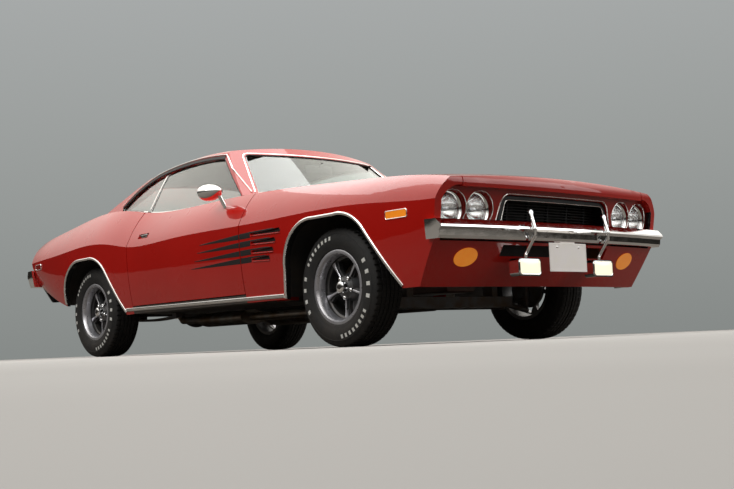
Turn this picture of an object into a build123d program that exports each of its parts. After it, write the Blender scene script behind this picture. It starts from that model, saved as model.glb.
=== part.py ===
"""A two-door hardtop muscle car of the early 1970s, as an assembly of separate panels and running gear.

Millimetres. +X is forward, +Y is the car's left, +Z is up. The origin is on the ground, midway between
the two ends of the car and on its centreline. The body is one lofted outline: each panel is a layer of
that outline, cut where the real panels meet, so every panel follows a change of the sections.
"""
from build123d import *
import os
from math import atan2, cos, degrees, hypot, pi, radians, sin

# Main dimensions
overall_length = 4890      # front of the lamp arms to the back of the rear bumper
wheelbase = 2794
front_axle_x = 1483
rear_axle_x = front_axle_x - wheelbase
axle_z = 328               # height of the wheel centres
front_track = 1516
rear_track = 1542
end_x = overall_length / 2

# Wheels and tyres
tyre_radius = axle_z
tyre_width = 222
rim_bead_radius = 190      # the rim's barrel, where the tyre sits
rim_flange_radius = 204
rim_width = 188
rim_wall = 7
rim_dish = 62              # the spokes' face stands this far inside the outer lip
spoke_count = 5
spoke_depth = 30
hub_disc_radius = 62
hub_bore_radius = 30.05
spindle_radius = 30
fit_gap = 0.3              # running and seating clearance between pieces
stud_count = 5
stud_circle_radius = 57.15
lug_radius = 11

# Panels
wall = 40                  # fender, quarter and sill wall, with its inner structure
lid_wall = 32              # hood and decklid thickness
door_wall = 110            # whole thickness of a door
roof_wall = 34             # roof and pillars
sheet = 8                  # pressed floor and wheelhouse panels
glass_thickness = 6
shut_gap = 6               # gap round doors and lids
glass_gap = 9              # gap between the door glass and the quarter light
seat_gap = 0.4             # gap between fixed panels that meet

# Door
door_front_x = 690
door_rear_x = -650
door_bottom_z = 338
door_hinge_lead = 26       # the hinge line lies this far ahead of the door's front edge
door_inner_y = 690

# Hood and decklid, in plan
hood_rear_x = 850
firewall_x = 812
hood_rear_half = 640
hood_front_half = 752
deck_front_x = -1640
deck_front_half = 610
deck_rear_half = 690
lid_drop_z = 700           # lids are cut from the outline above this height
hood_lip_z = 776           # the hood's front edge turns down to here
hood_lip_wall = 26

# Front and rear faces
nose_x = 2400
tail_x = -2385
end_radius = 7000          # plan radius of the nose and the tail
header_depth = 40          # lamp panel inside the lip
header_wall = 24
header_bottom_z = 560
valance_wall = 22
valance_top_z = 506
body_bottom_z = 285
bumper_z_low = 520
bumper_z_ridge = 568
bumper_z_top = 610
bumper_proud = 30          # front of the bumper ahead of the nose
bumper_side_proud = 20
bumper_clear = 3
bumper_end_x = 2265        # where the front bumper ends along the fender
rear_bumper_z_low = 572
rear_bumper_z_ridge = 650
rear_bumper_z_top = 700
rear_bumper_end_x = -2235

# Lamps and grille
lamp_z = 674
lamp_outer_y = 762
lamp_inner_y = 582
lamp_tunnel_radius = 89
lamp_tunnel_wall = 4
lamp_glass_radius = 73
lamp_depth = 20            # lens ring behind the panel's rear face
grille_top_half = 424
grille_bottom_half = 482
grille_top_z = 752
grille_corner = 60
grille_bar_count = 13
grille_rim_depth = 70
grille_bar_depth = 46      # the bars stand this far behind the rim's front
grille_bar_thickness = 4
park_y = 655
park_z = 428
park_half_length = 74
park_half_height = 46
fog_y = 304
fog_x = 2388
fog_z = 374
fog_width = 178
fog_height = 94
fog_depth = 62
plate_width = 305
plate_height = 152
plate_x = 2395
plate_z = 428
plate_bolt_spacing = 178
plate_bolt_radius = 3.5
rear_plate_x = -2332        # rear face of the plate's bracket
rear_plate_z = 505
plate_pad = 12

# Greenhouse
roof_top_z = 1376
roof_radius = 4000
roof_peak_x = -220
roof_rail_radius = 40      # rounding between the roof and its sides
screen_base_x = 690        # windscreen on the centreline at screen_base_z
screen_base_z = 945
screen_slope = 1.18        # run over rise
screen_radius = 1900       # plan radius of the windscreen's base
backlight_base_x = -1605
backlight_base_z = 1040
backlight_slope = 2.63
backlight_radius = 2200
cabin_floor_z = 880

# Underbody
floor_z = 292
tunnel_half = 150
tunnel_z = 452
trunk_floor_z = 505
rail_y = 410
rail_width = 62
rail_height = 92
rail_z = 395
kingpin_y = 688
steer_arm_length = 150

# Body sections, from the tail to the nose
#  x, z_sill, y_sill, z_crease, y_crease, z_belt, y_belt, z_crown
SECTIONS = [
    (-2470, 596, 812, 752, 868, 868, 778, 905),
    (-2180, 560, 862, 762, 922, 938, 800, 976),
    (-1800, 425, 900, 773, 954, 984, 806, 1022),
    (-1300, 320, 914, 801, 970, 1040, 802, 1070),
    (-960, 286, 911, 790, 967, 1034, 802, 1062),
    (-640, 285, 908, 741, 960, 985, 808, 1014),
    (-200, 285, 906, 740, 956, 953, 813, 984),
    (600, 285, 905, 746, 951, 951, 817, 984),
    (1200, 285, 903, 750, 946, 926, 820, 968),
    (1850, 285, 894, 740, 934, 884, 822, 930),
    (2470, 285, 812, 720, 892, 790, 812, 826),
]

# Greenhouse sections: x, half-width at the belt, half-width at the roof
CABIN_SECTIONS = [
    (1300, 742, 516),
    (0, 806, 566),
    (-1750, 735, 494),
]
cabin_low_z = 930
cabin_high_z = 1395


def prism(face, axis, start, end):
    """A flat outline drawn in the two other axes, in X, Y, Z order, extruded from start to end along axis."""
    planes = {
        "X": Plane(origin=(start, 0, 0), x_dir=(0, 1, 0), z_dir=(1, 0, 0)),
        "Y": Plane(origin=(0, end, 0), x_dir=(1, 0, 0), z_dir=(0, -1, 0)),
        "Z": Plane(origin=(0, 0, start), x_dir=(1, 0, 0), z_dir=(0, 0, 1)),
    }
    return extrude(planes[axis] * face, amount=end - start)


def outline(points):
    """A face inside straight lines through the points."""
    return make_face(Polyline(*points, close=True))


def block(low, high):
    """A box between two corners."""
    size = [h - l for l, h in zip(low, high)]
    centre = [(h + l) / 2 for l, h in zip(low, high)]
    return Pos(*centre) * Box(*size)


def both(solid):
    """A solid on the car's left side and its mirror image on the right."""
    return [solid, mirror(solid, about=Plane.XZ)]


def tube(start, end, radius):
    """A round bar from one point to another."""
    a, b = Vector(*start), Vector(*end)
    return extrude(Plane(origin=a, z_dir=b - a) * Circle(radius), amount=(b - a).length)


def bar_chain(points, radius, swell=1.0):
    """Round bars through the points, with a ball at each corner that swell makes stand proud."""
    solid = tube(points[0], points[1], radius)
    for a, b in zip(points[1:], points[2:]):
        solid = solid + Pos(*a) * Sphere(radius * swell) + tube(a, b, radius)
    return solid


# The body outline

def body_section(row, inset, sink):
    x, z_sill, y_sill, z_crease, y_crease, z_belt, y_belt, z_crown = row
    side_bulge, shoulder_bulge = 14, 9
    low, crease = (y_sill - inset, z_sill - sink), (y_crease - inset, z_crease)
    belt, crown = (y_belt - inset, z_belt - inset), (0, z_crown - inset)
    side_mid = ((low[0] + crease[0]) / 2 + side_bulge, (low[1] + crease[1]) / 2)
    shoulder_mid = ((crease[0] + belt[0]) / 2 + shoulder_bulge, (crease[1] + belt[1]) / 2 + shoulder_bulge)
    flip = lambda p: (-p[0], p[1])
    edges = [
        Line(flip(low), low),
        ThreePointArc(low, side_mid, crease),
        ThreePointArc(crease, shoulder_mid, belt),
        ThreePointArc(belt, crown, flip(belt)),
        ThreePointArc(flip(belt), flip(shoulder_mid), flip(crease)),
        ThreePointArc(flip(crease), flip(side_mid), flip(low)),
    ]
    plane = Plane(origin=(x, 0, 0), x_dir=(0, 1, 0), z_dir=(1, 0, 0))
    return plane * make_face(edges)


def body(inset=0.0, sink=0.0):
    """The whole lower body as a solid, drawn in by inset and with its underside lowered by sink."""
    return loft([body_section(row, inset, sink) for row in SECTIONS])


def turned(profile, axis_x):
    """A closed profile of (radius, height) points turned about an upright axis."""
    sector = 64
    face = Plane(origin=(axis_x, 0, 0), x_dir=(1, 0, 0), z_dir=(0, -1, 0)) * make_face(profile)
    face = face.rotate(Axis((axis_x, 0, 0), (0, 0, 1)), -sector / 2)
    return revolve(face, Axis((axis_x, 0, 0), (0, 0, 1)), sector)


def nose(depth=0.0):
    """Everything behind the car's front face, moved back by depth."""
    r = end_radius - depth
    profile = [
        Polyline((0, 150), (r - 205, 150), (r - 190, body_bottom_z), (r - 42, bumper_z_low),
                 (r - 30, bumper_z_top), (r - 4, 775), (r, 795)),
        ThreePointArc((r, 795), (r - 13, 838), (r - 62, 868)),
        Polyline((r - 62, 868), (r - 62, 1200), (0, 1200), (0, 150)),
    ]
    return turned(profile, nose_x - end_radius)


def tail(depth=0.0):
    """Everything ahead of the car's rear face, moved forward by depth."""
    r = -(end_radius - depth)
    profile = [
        Polyline((0, 150), (r + 330, 150), (r + 290, 400), (r + 92, rear_bumper_z_low),
                 (r + 70, rear_bumper_z_top), (r + 8, 850), (r + 4, 862)),
        ThreePointArc((r + 4, 862), (r + 12, 884), (r + 48, 902)),
        Polyline((r + 48, 902), (r + 48, 1200), (0, 1200), (0, 150)),
    ]
    return turned(profile, tail_x + end_radius)


# The greenhouse outline

def cabin_section(row, inset):
    x, y_low, y_high = row
    bulge = 11
    low, high = (y_low - inset, cabin_low_z), (y_high - inset, cabin_high_z)
    lean = (low[0] - high[0]) / (cabin_high_z - cabin_low_z)
    foot = (low[0] + lean * (cabin_low_z - cabin_floor_z), cabin_floor_z)
    mid = ((low[0] + high[0]) / 2 + bulge, (low[1] + high[1]) / 2)
    flip = lambda p: (-p[0], p[1])
    edges = [
        Polyline(flip(low), flip(foot), foot, low),
        ThreePointArc(low, mid, high),
        Line(high, flip(high)),
        ThreePointArc(flip(high), flip(mid), flip(low)),
    ]
    return Plane(origin=(x, 0, 0), x_dir=(0, 1, 0), z_dir=(1, 0, 0)) * make_face(edges)


def screen_cone(base_x, base_z, slope, radius, inset, forward):
    """The solid behind a raked screen that is also curved in plan."""
    z0, z1 = cabin_floor_z - 60, roof_top_z + 60
    shrink = inset * hypot(1, slope)
    at = lambda z: radius - shrink - slope * (z - base_z)
    axis_x = base_x - radius if forward else base_x + radius
    return Pos(axis_x, 0, (z0 + z1) / 2) * Cone(at(z0), at(z1), z1 - z0)


def screen(inset):
    return screen_cone(screen_base_x, screen_base_z, screen_slope, screen_radius, inset, True)


def backlight(inset):
    return screen_cone(backlight_base_x, backlight_base_z, backlight_slope, backlight_radius, inset, False)


def cabin(side=0.0, top=None, front=None, back=None, rail=0.0):
    """The greenhouse as a solid, each of its faces drawn in by its own amount and its roof rails rounded."""
    top, front, back = [side if v is None else v for v in (top, front, back)]
    crown = Pos(roof_peak_x, 0, roof_top_z - roof_radius) * Sphere(roof_radius - top)
    solid = loft([cabin_section(row, side) for row in CABIN_SECTIONS]) & crown
    if rail:
        length = CABIN_SECTIONS[0][0] - CABIN_SECTIONS[-1][0]
        rails = [e for e in solid.edges() if e.length > length * 0.9 and e.center().Z > cabin_low_z + 100]
        solid = fillet(rails, rail)
    return solid & screen(front) & backlight(back)


# Wheel arches, as (x from the axle, z) outlines

def front_arch():
    rear, front = -362, 640
    return make_face([
        Polyline((front_axle_x + front, 180), (front_axle_x + rear - 55, 180), (front_axle_x + rear, 448)),
        ThreePointArc((front_axle_x + rear, 448), (front_axle_x - 272, 646), (front_axle_x - 80, 705)),
        Line((front_axle_x - 80, 705), (front_axle_x + 90, 705)),
        ThreePointArc((front_axle_x + 90, 705), (front_axle_x + 218, 685), (front_axle_x + 305, 620)),
        Polyline((front_axle_x + 305, 620), (front_axle_x + 480, 388), (front_axle_x + front, 180)),
    ])


def rear_arch():
    rear, front = -352, 640
    return make_face([
        Polyline((rear_axle_x + front, 180), (rear_axle_x + rear, 180), (rear_axle_x + rear, 430)),
        ThreePointArc((rear_axle_x + rear, 430), (rear_axle_x - 232, 632), (rear_axle_x - 30, 698)),
        Line((rear_axle_x - 30, 698), (rear_axle_x + 90, 698)),
        ThreePointArc((rear_axle_x + 90, 698), (rear_axle_x + 225, 675), (rear_axle_x + 315, 606)),
        Polyline((rear_axle_x + 315, 606), (rear_axle_x + 470, 388), (rear_axle_x + front, 180)),
    ])


arch_cut_inner = 590       # arches are cut through from here outwards
wheelhouse_margin = 40     # the wheelhouse stands this far outside the arch
far = 1200                 # past the widest point of the car


def wheelhouse(arch, y_inner, low_z):
    """The arched panel over a wheel, from the apron to the body side."""
    outer = offset(arch, wheelhouse_margin + sheet)
    inner = offset(arch, wheelhouse_margin)
    shell = prism(outer - inner, "Y", y_inner, far) & body(wall + seat_gap, 60)
    return shell & block((-3000, 0, low_z), (3000, far, 1200))


# Regions of the body

def door_region(grow, y_low=0):
    """The side outline of a door, grown by grow, extruded across one side of the car."""
    x0, x1 = door_rear_x - grow, door_front_x + grow
    z0, z1 = door_bottom_z - grow, 1200
    return prism(outline([(x0, z0), (x1, z0), (x1, z1), (x0, z1)]), "Y", y_low, far)


def hood_region(grow):
    y0, y1 = hood_rear_half + grow, hood_front_half + grow
    points = [(hood_rear_x - grow, -y0), (2600, -y1), (2600, y1), (hood_rear_x - grow, y0)]
    return prism(outline(points), "Z", lid_drop_z, 1200)


def deck_region(grow):
    y0, y1 = deck_front_half + grow, deck_rear_half + grow
    points = [(deck_front_x + grow, -y0), (-2600, -y1), (-2600, y1), (deck_front_x + grow, y0)]
    return prism(outline(points), "Z", lid_drop_z, 1200)


pillar_foot_rear_x = 452
post_front_x = 700.4
cabin_opening_half = 742
cabin_opening_margin = 95


def cabin_opening():
    """The hole that the cabin makes in the top of the body, rounded like the two screens."""
    tall = 500
    front = Pos(screen_base_x - screen_radius, 0, 1000) * Cylinder(screen_radius - cabin_opening_margin, tall)
    back = Pos(backlight_base_x + backlight_radius, 0, 1000) * Cylinder(
        backlight_radius - cabin_opening_margin, tall)
    return front & back & block((-1700, -cabin_opening_half, 700), (1300, cabin_opening_half, 1300))


OUTER = body() & nose() & tail()
INNER = body(wall, 80)
SEATED = body(wall + seat_gap, 80)
SHELL = OUTER - INNER


def vent_slots():
    """Four shallow slots behind each front wheel, each starting further back than the one above it."""
    #  front end, centre height
    table = [(1106, 682), (1057, 631), (1031, 579), (990, 533)]
    slot_rear, slot_height, slot_depth = 812, 26, 14
    cutters = []
    for front, z in table:
        shape = outline([(slot_rear, z - 4), (front, z - slot_height / 2), (front - 14, z + slot_height / 2),
                         (slot_rear, z + 6)])
        cutters += both(prism(shape, "Y", 0, far))
    depth = body(slot_depth, 80)
    return [c - depth for c in cutters]


def front_fenders():
    left = SHELL & block((door_front_x + shut_gap, 0, body_bottom_z), (2600, far, 1200))
    left = left - hood_region(shut_gap) - prism(front_arch(), "Y", arch_cut_inner, far)
    cowl_edge = hood_rear_half + shut_gap
    left = left - block((0, 0, lid_drop_z), (hood_rear_x + 1, cowl_edge, 1200))
    left = left - block((0, 0, 0), (2600, 560, 1200))
    for slot in vent_slots():
        left = left - slot
    return both(left)


def cowl():
    """The panel under the windscreen, the firewall and the two door posts that the roof's pillars stand on."""
    edge = hood_rear_half + shut_gap - seat_gap
    x0, x1 = firewall_x, firewall_x + sheet
    wide = door_inner_y - shut_gap
    top = block((door_front_x, -edge, 860), (hood_rear_x - shut_gap, edge, 1200))
    top = top + block((pillar_foot_rear_x, -wide, 860), (door_front_x + 3, wide, 1200))
    top = (SHELL & top) - cabin_opening()
    inside = body(wall - 1, 0)
    firewall = block((x0, -edge, tunnel_z), (x1, edge, 1100)) & inside
    post = block((post_front_x, edge - 30, body_bottom_z + 8), (x1, door_inner_y, 1100)) & body(wall + seat_gap, 0)
    solid = top + firewall
    for p in both(post):
        solid = solid + p
    return solid - prism(offset(front_arch(), wheelhouse_margin + sheet + 1), "Y", -far, far)


def quarter_panels():
    left = SHELL & block((-2600, 0, body_bottom_z - 80), (door_rear_x - shut_gap, far, 1200))
    left = left - deck_region(shut_gap) - prism(rear_arch(), "Y", arch_cut_inner, far) - cabin_opening()
    inner = deck_front_half + shut_gap
    left = left - block((-1700, 0, 800), (-1000, inner, 1200)) - block((-2600, 0, 0), (0, 560, 1200))
    return both(left)


def rear_shelf():
    """The panel between the backlight and the decklid, the parcel shelf and the panel behind the rear seat."""
    edge = deck_front_half + shut_gap - seat_gap
    top = SHELL & block((deck_front_x + shut_gap, -edge, 860), (-1300, edge, 1200))
    top = top - cabin_opening()
    shelf_z = 940
    shelf = block((deck_front_x + 30, -edge, shelf_z - sheet), (-1172, edge, shelf_z))
    riser = block((deck_front_x + 30, -edge, shelf_z - sheet), (deck_front_x + 30 + sheet, edge, 1015))
    foot_z = trunk_floor_z + sheet + seat_gap
    back = prism(outline([(-1172, shelf_z), (-1172 - sheet, shelf_z), (-1160 - sheet, foot_z),
                          (-1160, foot_z)]), "Y", -edge + 60, edge - 60)
    return top + shelf + riser + back


def tail_layer(depth, thickness, low, high):
    return (tail(depth) & block((-2600, -far, low), (-1900, far, high))) - tail(depth + thickness)


def nose_layer(depth, thickness, low, high):
    return (nose(depth) & block((1800, -far, low), (2600, far, high))) - nose(depth + thickness)


def tail_panel():
    panel = tail_layer(40, 24, 520, 858) + tail_layer(0, 20, 440, 560) + tail_layer(10, 54, 520, 540)
    panel = (panel & SEATED) - tail_lamp_shape(seat_gap)
    x, low, high, half = rear_plate_x, rear_plate_z - 43, rear_plate_z + 43, plate_bolt_spacing / 2 + 16
    bracket = block((x, -half, low), (x + plate_pad, half, high))
    for cheek in both(block((x, half - 10, low), (x + 160, half, high))):
        bracket = bracket + cheek
    bracket = bracket - tail(10)
    for y in (-plate_bolt_spacing / 2, plate_bolt_spacing / 2):
        bracket = bracket - Pos(x, y, rear_plate_z) * Rot(0, 90, 0) * Cylinder(plate_bolt_radius, 3 * plate_pad)
    return panel + bracket


def tail_lamp_shape(grow=0.0):
    """The four rectangular tail lamps, two a side, as blocks through the tail panel."""
    lamps = None
    for y in (250, 548):
        lamp = block((-2600, y - 130 - grow, 726 - grow), (-2200, y + 130 + grow, 822 + grow))
        lamps = lamp if lamps is None else lamps + lamp
    return lamps + mirror(lamps, about=Plane.XZ)


def red_lamps():
    lens = tail_lamp_shape() & tail_layer(30, 30, 700, 850)
    marker = (body(-4) - body(seat_gap * -1)) & block((-2180, 0, 700), (-2060, far, 738))
    return list(lens.solids()) + both(marker)


def lamp_plane_x(y):
    """How far forward the ring of a lamp stands."""
    return nose_x - end_radius + (end_radius ** 2 - y ** 2) ** 0.5 - header_depth - header_wall - lamp_depth


def header_panel():
    """The recessed front panel with four lamp tunnels and the grille opening."""
    front = (nose(header_depth) & block((2100, -far, header_bottom_z), (2600, far, 900))) & SEATED
    core = nose(header_depth + header_wall) & block((2000, -far, header_bottom_z - 50), (2700, far, 1000))
    bores = []
    for y in (lamp_outer_y, lamp_inner_y):
        start = lamp_plane_x(y) - 12
        for tunnel in both(tube((start, y, lamp_z), (nose_x + 50, y, lamp_z), lamp_tunnel_radius + lamp_tunnel_wall)):
            core = core - tunnel
        bores += both(tube((start - 50, y, lamp_z), (nose_x + 60, y, lamp_z), lamp_tunnel_radius))
    panel = (front - core) - prism(grille_outline(0), "X", 2000, 2600)
    for bore in bores:
        panel = panel - bore
    return panel


def grille_outline(grow):
    """The grille opening seen from the front: narrower at the top, with round upper corners."""
    top, bottom = grille_top_half + grow, grille_bottom_half + grow
    z0, z1 = header_bottom_z - 20, grille_top_z + grow
    face = outline([(-bottom, z0), (bottom, z0), (top, z1), (-top, z1)])
    corners = face.vertices().sort_by(Axis.Y)[-2:]
    return fillet(corners, grille_corner + grow)


def grille():
    """Thin bars across the opening inside a moulded rim, set back behind the header panel."""
    depth = header_depth + header_wall + seat_gap
    rim = prism(grille_outline(14) - grille_outline(-6), "X", 2000, 2600)
    solid = rim & nose_layer(depth, grille_rim_depth, header_bottom_z, 900)
    opening = prism(grille_outline(-2), "X", 2000, 2600)
    pitch = (grille_top_z - header_bottom_z) / grille_bar_count
    bar_depth, bar_length, half = depth + grille_bar_depth, 20, grille_bar_thickness / 2
    for i in range(grille_bar_count):
        z = header_bottom_z + (i + 0.5) * pitch
        solid = solid + (nose_layer(bar_depth, bar_length, z - half, z + half) & opening)
    for y in (-320, -160, 0, 160, 320):
        post = nose_layer(bar_depth, bar_length, header_bottom_z, grille_top_z + 4)
        solid = solid + (post & block((2000, y - 3, 0), (2600, y + 3, 900)) & opening)
    return solid


def headlamps():
    """Four round sealed lamps, each a domed lens in a bowl at the back of its tunnel."""
    r0, r1, dome = lamp_tunnel_radius - seat_gap, lamp_glass_radius, 15
    sag = dome + 2
    lens_radius = (r1 ** 2 + sag ** 2) / (2 * sag)
    mid_y = r1 / 2
    mid_x = dome - lens_radius + (lens_radius ** 2 - mid_y ** 2) ** 0.5
    face = make_face([
        Polyline((-60, 0), (-60, 40), (-26, r1), (-12, r0), (2, r0), (2, r1 + 5), (-2, r1)),
        ThreePointArc((-2, r1), (mid_x, mid_y), (dome, 0)),
        Line((dome, 0), (-60, 0)),
    ])
    lamp = revolve(Plane.XY * face, Axis.X)
    lamps = []
    for y in (lamp_outer_y, lamp_inner_y):
        lamps += both(Pos(lamp_plane_x(y), y, lamp_z) * lamp)
    return lamps


def ellipse_prism(y, z, half_y, half_z):
    return prism(Pos(y, z) * Ellipse(half_y, half_z), "X", 1900, 2600)


def front_valance():
    panel = nose_layer(0, valance_wall, body_bottom_z, valance_top_z) & SEATED
    intake = block((1900, -430, 436), (2600, 430, valance_top_z - 14))
    panel = panel - intake
    for side in (1, -1):
        panel = panel - ellipse_prism(side * park_y, park_z, park_half_length, park_half_height)
    return panel


def amber_lamps():
    lens = nose_layer(-4, valance_wall + 4, body_bottom_z, valance_top_z) & ellipse_prism(
        park_y, park_z, park_half_length - seat_gap, park_half_height - seat_gap)
    marker = (body(-4) - body(-seat_gap)) & block((1985, 0, 640), (2135, far, 680))
    return both(lens) + both(marker)


def front_bumper():
    r, out, z0, z1, z2 = end_radius, end_radius + bumper_proud, bumper_z_low, bumper_z_ridge, bumper_z_top
    face = [Polyline((0, z0 - 8), (r - 2, z0 - 8), (r + 8, z0 + 6), (r + 10, z1 - 14), (out, z1),
                     (out - 3, z1 + 10), (r - 6, z2), (0, z2), (0, z0 - 8))]
    front = turned(face, nose_x - end_radius)
    inner = body(-bumper_clear, 60) & nose(-bumper_clear)
    solid = (body(-bumper_side_proud, 30) & front) - inner
    return solid & block((bumper_end_x, -far, 400), (2700, far, 700))


def rear_bumper():
    r = -end_radius
    reach = end_x + tail_x
    z0, z1, z2 = rear_bumper_z_low, rear_bumper_z_ridge, rear_bumper_z_top
    face = [Polyline((0, z0), (r - reach + 26, z0), (r - reach + 16, z1 - 16), (r - reach, z1),
                     (r - reach + 3, z1 + 12), (r - reach + 40, z2), (0, z2), (0, z0))]
    back = turned(face, tail_x + end_radius)
    inner = body(-bumper_clear, 120) & tail(-bumper_clear)
    solid = (body(-bumper_side_proud, 120) & back) - inner
    return solid & block((-2700, -far, 400), (rear_bumper_end_x, far, 800))


def front_plate():
    """A blank number plate on a bracket under the bumper."""
    x = plate_x
    bracket = block((x - 40, -60, plate_z + 20), (x, 60, bumper_z_low - 8 - seat_gap))
    return Pos(x, 0, plate_z) * Box(3, plate_width, plate_height) + bracket


def fog_lamps():
    """Two driving lamps, each hung below the bumper on a chrome arm that hooks over it."""
    x, y = fog_x, fog_y
    case = Pos(x - fog_depth / 2, y, fog_z) * Box(fog_depth, fog_width, fog_height)
    case = fillet(case.edges().filter_by(Axis.X), 20)
    arm_radius = 10.5
    front = end_x - arm_radius
    arm = bar_chain([(x - 30, y, fog_z + fog_height / 2 - 10), (x - 26, y, fog_z + fog_height / 2 + 22),
                     (front - 4, y, bumper_z_ridge - 36), (front, y, bumper_z_ridge),
                     (front - 14, y, bumper_z_top + 8), (front - 24, y, bumper_z_top + 44)], arm_radius, 1.03)
    hook = Pos(front - 26, y, bumper_z_top + 44) * Rot(0, 90, 0) * Cylinder(15, 14)
    return both(case + arm + hook)


# Greenhouse pieces

def side_window(grow=0.0):
    """The opening between the pillars, seen from the side."""
    return make_face([
        Line((482 + grow, 962), (112 + grow, 1258 + grow)),
        ThreePointArc((112 + grow, 1258 + grow), (-250, 1284 + grow), (-640, 1266 + grow)),
        ThreePointArc((-640, 1266 + grow), (-905, 1200 + grow), (-1128 - grow, 1072)),
        Polyline((-1128 - grow, 1072), (-1128 - grow, 940 - grow), (482 + grow, 940 - grow), (482 + grow, 962)),
    ])


def windscreen_outline(grow=0.0):
    z0, z1 = 940, 1288 + grow
    face = outline([(-690 - grow, z0), (690 + grow, z0), (540 + grow, z1), (-540 - grow, z1)])
    return fillet(face.vertices().sort_by(Axis.Y)[-2:], 50)


def backlight_outline(grow=0.0):
    face = outline([(-985 + grow, -505 - grow), (-985 + grow, 505 + grow), (-1640, 610 + grow), (-1640, -610 - grow)])
    return fillet(face.vertices().sort_by(Axis.X)[-2:], 60)


def roof():
    """The roof with its windscreen pillars and sail panels, cut for the four window openings."""
    solid = cabin(rail=roof_rail_radius) - cabin(roof_wall)
    solid = solid - prism(windscreen_outline(), "X", 100, 1400)
    solid = solid - (prism(backlight_outline(), "Z", 900, 1400))
    solid = solid - prism(side_window(), "Y", -far, far)
    foot = block((pillar_foot_rear_x, 620, 930), (700, 760, 992)) & cabin(10) & screen(16)
    foot = foot - prism(side_window(), "Y", 740, far)
    for p in both(foot):
        solid = solid + p
    over_door = block((door_rear_x - shut_gap, door_inner_y - shut_gap, 800), (door_front_x + shut_gap, far, 1200))
    solid = solid - body(-seat_gap, 80)
    for p in both(over_door & body(-shut_gap - 0.5, 80)):
        solid = solid - p
    return solid


def windows():
    """The fixed glass: windscreen, backlight and the two quarter lights."""
    front = (screen(6) - screen(6 + glass_thickness)) & cabin(4, 0, 0, 0)
    front = front & prism(windscreen_outline(-seat_gap), "X", 100, 1400)
    back = (backlight(6) - backlight(6 + glass_thickness)) & cabin(4, 0, 0, 0)
    back = back & prism(backlight_outline(-seat_gap), "Z", 900, 1400)
    side = (cabin(14, 0, 0, 0) - cabin(14 + glass_thickness, -1, -1, -1)) & prism(side_window(-seat_gap), "Y", 0, far)
    quarter = side & glass_split(-glass_gap / 2, False)
    cut = body(-seat_gap, 80)
    return [front - cut, back - cut] + both(quarter - cut)


def glass_split(shift, ahead):
    """The part of the side glass ahead of or behind the upright seam above the door's rear edge."""
    low_x, high_x = door_rear_x + shift, door_rear_x + shift + 40
    end = 1400 if ahead else -1600
    return prism(outline([(low_x, 900), (high_x, 1340), (end, 1340), (end, 900)]), "Y", 0, far)


def door_glass():
    side = (cabin(14, 0, 0, 0) - cabin(14 + glass_thickness, -1, -1, -1)) & prism(side_window(-shut_gap), "Y", 0, far)
    return (side & glass_split(glass_gap / 2, True)) - body(-seat_gap, 80)


door_hinge_x = door_front_x + door_hinge_lead
door_hinge_y = 936


def door():
    solid = (OUTER - body(door_wall, 200)) & door_region(0)
    swing = Pos(door_hinge_x, door_hinge_y, 700) * Cylinder(door_hinge_x - door_rear_x, 1400)
    inner_edge = block((-2000, 0, 0), (2000, door_inner_y, 1300))
    return (solid & swing) - inner_edge - door_handle_recess()


def door_handle_recess():
    recess = block((door_rear_x + 110, 0, 786), (door_rear_x + 236, far, 818))
    return recess - body(16, 80)


def mirror_left():
    """A bullet-shaped mirror on a short foot on top of the door."""
    head = make_face([
        Line((-52, 0), (-52, 58)),
        ThreePointArc((-52, 58), (36, 46), (96, 0)),
        Line((96, 0), (-52, 0)),
    ])
    shell = Pos(412, 950, 985) * scale(revolve(Plane.XY * head, Axis.X), by=(1, 1.25, 0.85))
    foot = tube((440, 864, 880), (425, 905, 970), 13)
    return shell + (foot - body(-fit_gap, 80))


def hood():
    """The hood, turned down at its front edge."""
    solid = (OUTER - body(lid_wall, 80)) & hood_region(0)
    lip = (OUTER - nose(hood_lip_wall)) & hood_region(0) & block((2200, -far, hood_lip_z), (2600, far, 1200))
    return (solid + lip) & block((hood_rear_x, -far, lid_drop_z), (2600, far, 1200))


def decklid():
    solid = (OUTER - body(lid_wall, 80)) & deck_region(0)
    lip = (OUTER - tail(26)) & deck_region(0) & block((-2600, -far, 864), (-2000, far, 1200))
    return solid + (lip & body(2, 80))


# Running gear

def tyre():
    """A tyre about the Y axis with its centre at the origin."""
    w, r, bead = tyre_width / 2, tyre_radius, rim_bead_radius + fit_gap
    half_bead = rim_width / 2 - rim_wall - fit_gap
    lip = rim_flange_radius + fit_gap
    tread = w - 34
    edges = [Line((bead, -half_bead), (bead, half_bead)), Line((r, tread), (r, -tread))]
    for sign in (1, -1):
        edges += [
            Polyline((bead, sign * half_bead), (lip, sign * half_bead), (lip + 3, sign * (half_bead + 10))),
            ThreePointArc((lip + 3, sign * (half_bead + 10)), (lip + 52, sign * w), (r - 20, sign * (w - 12))),
            ThreePointArc((r - 20, sign * (w - 12)), (r - 5, sign * (w - 20)), (r, sign * tread)),
        ]
    return revolve(Plane.XY * make_face(edges), Axis.Y)


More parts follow.
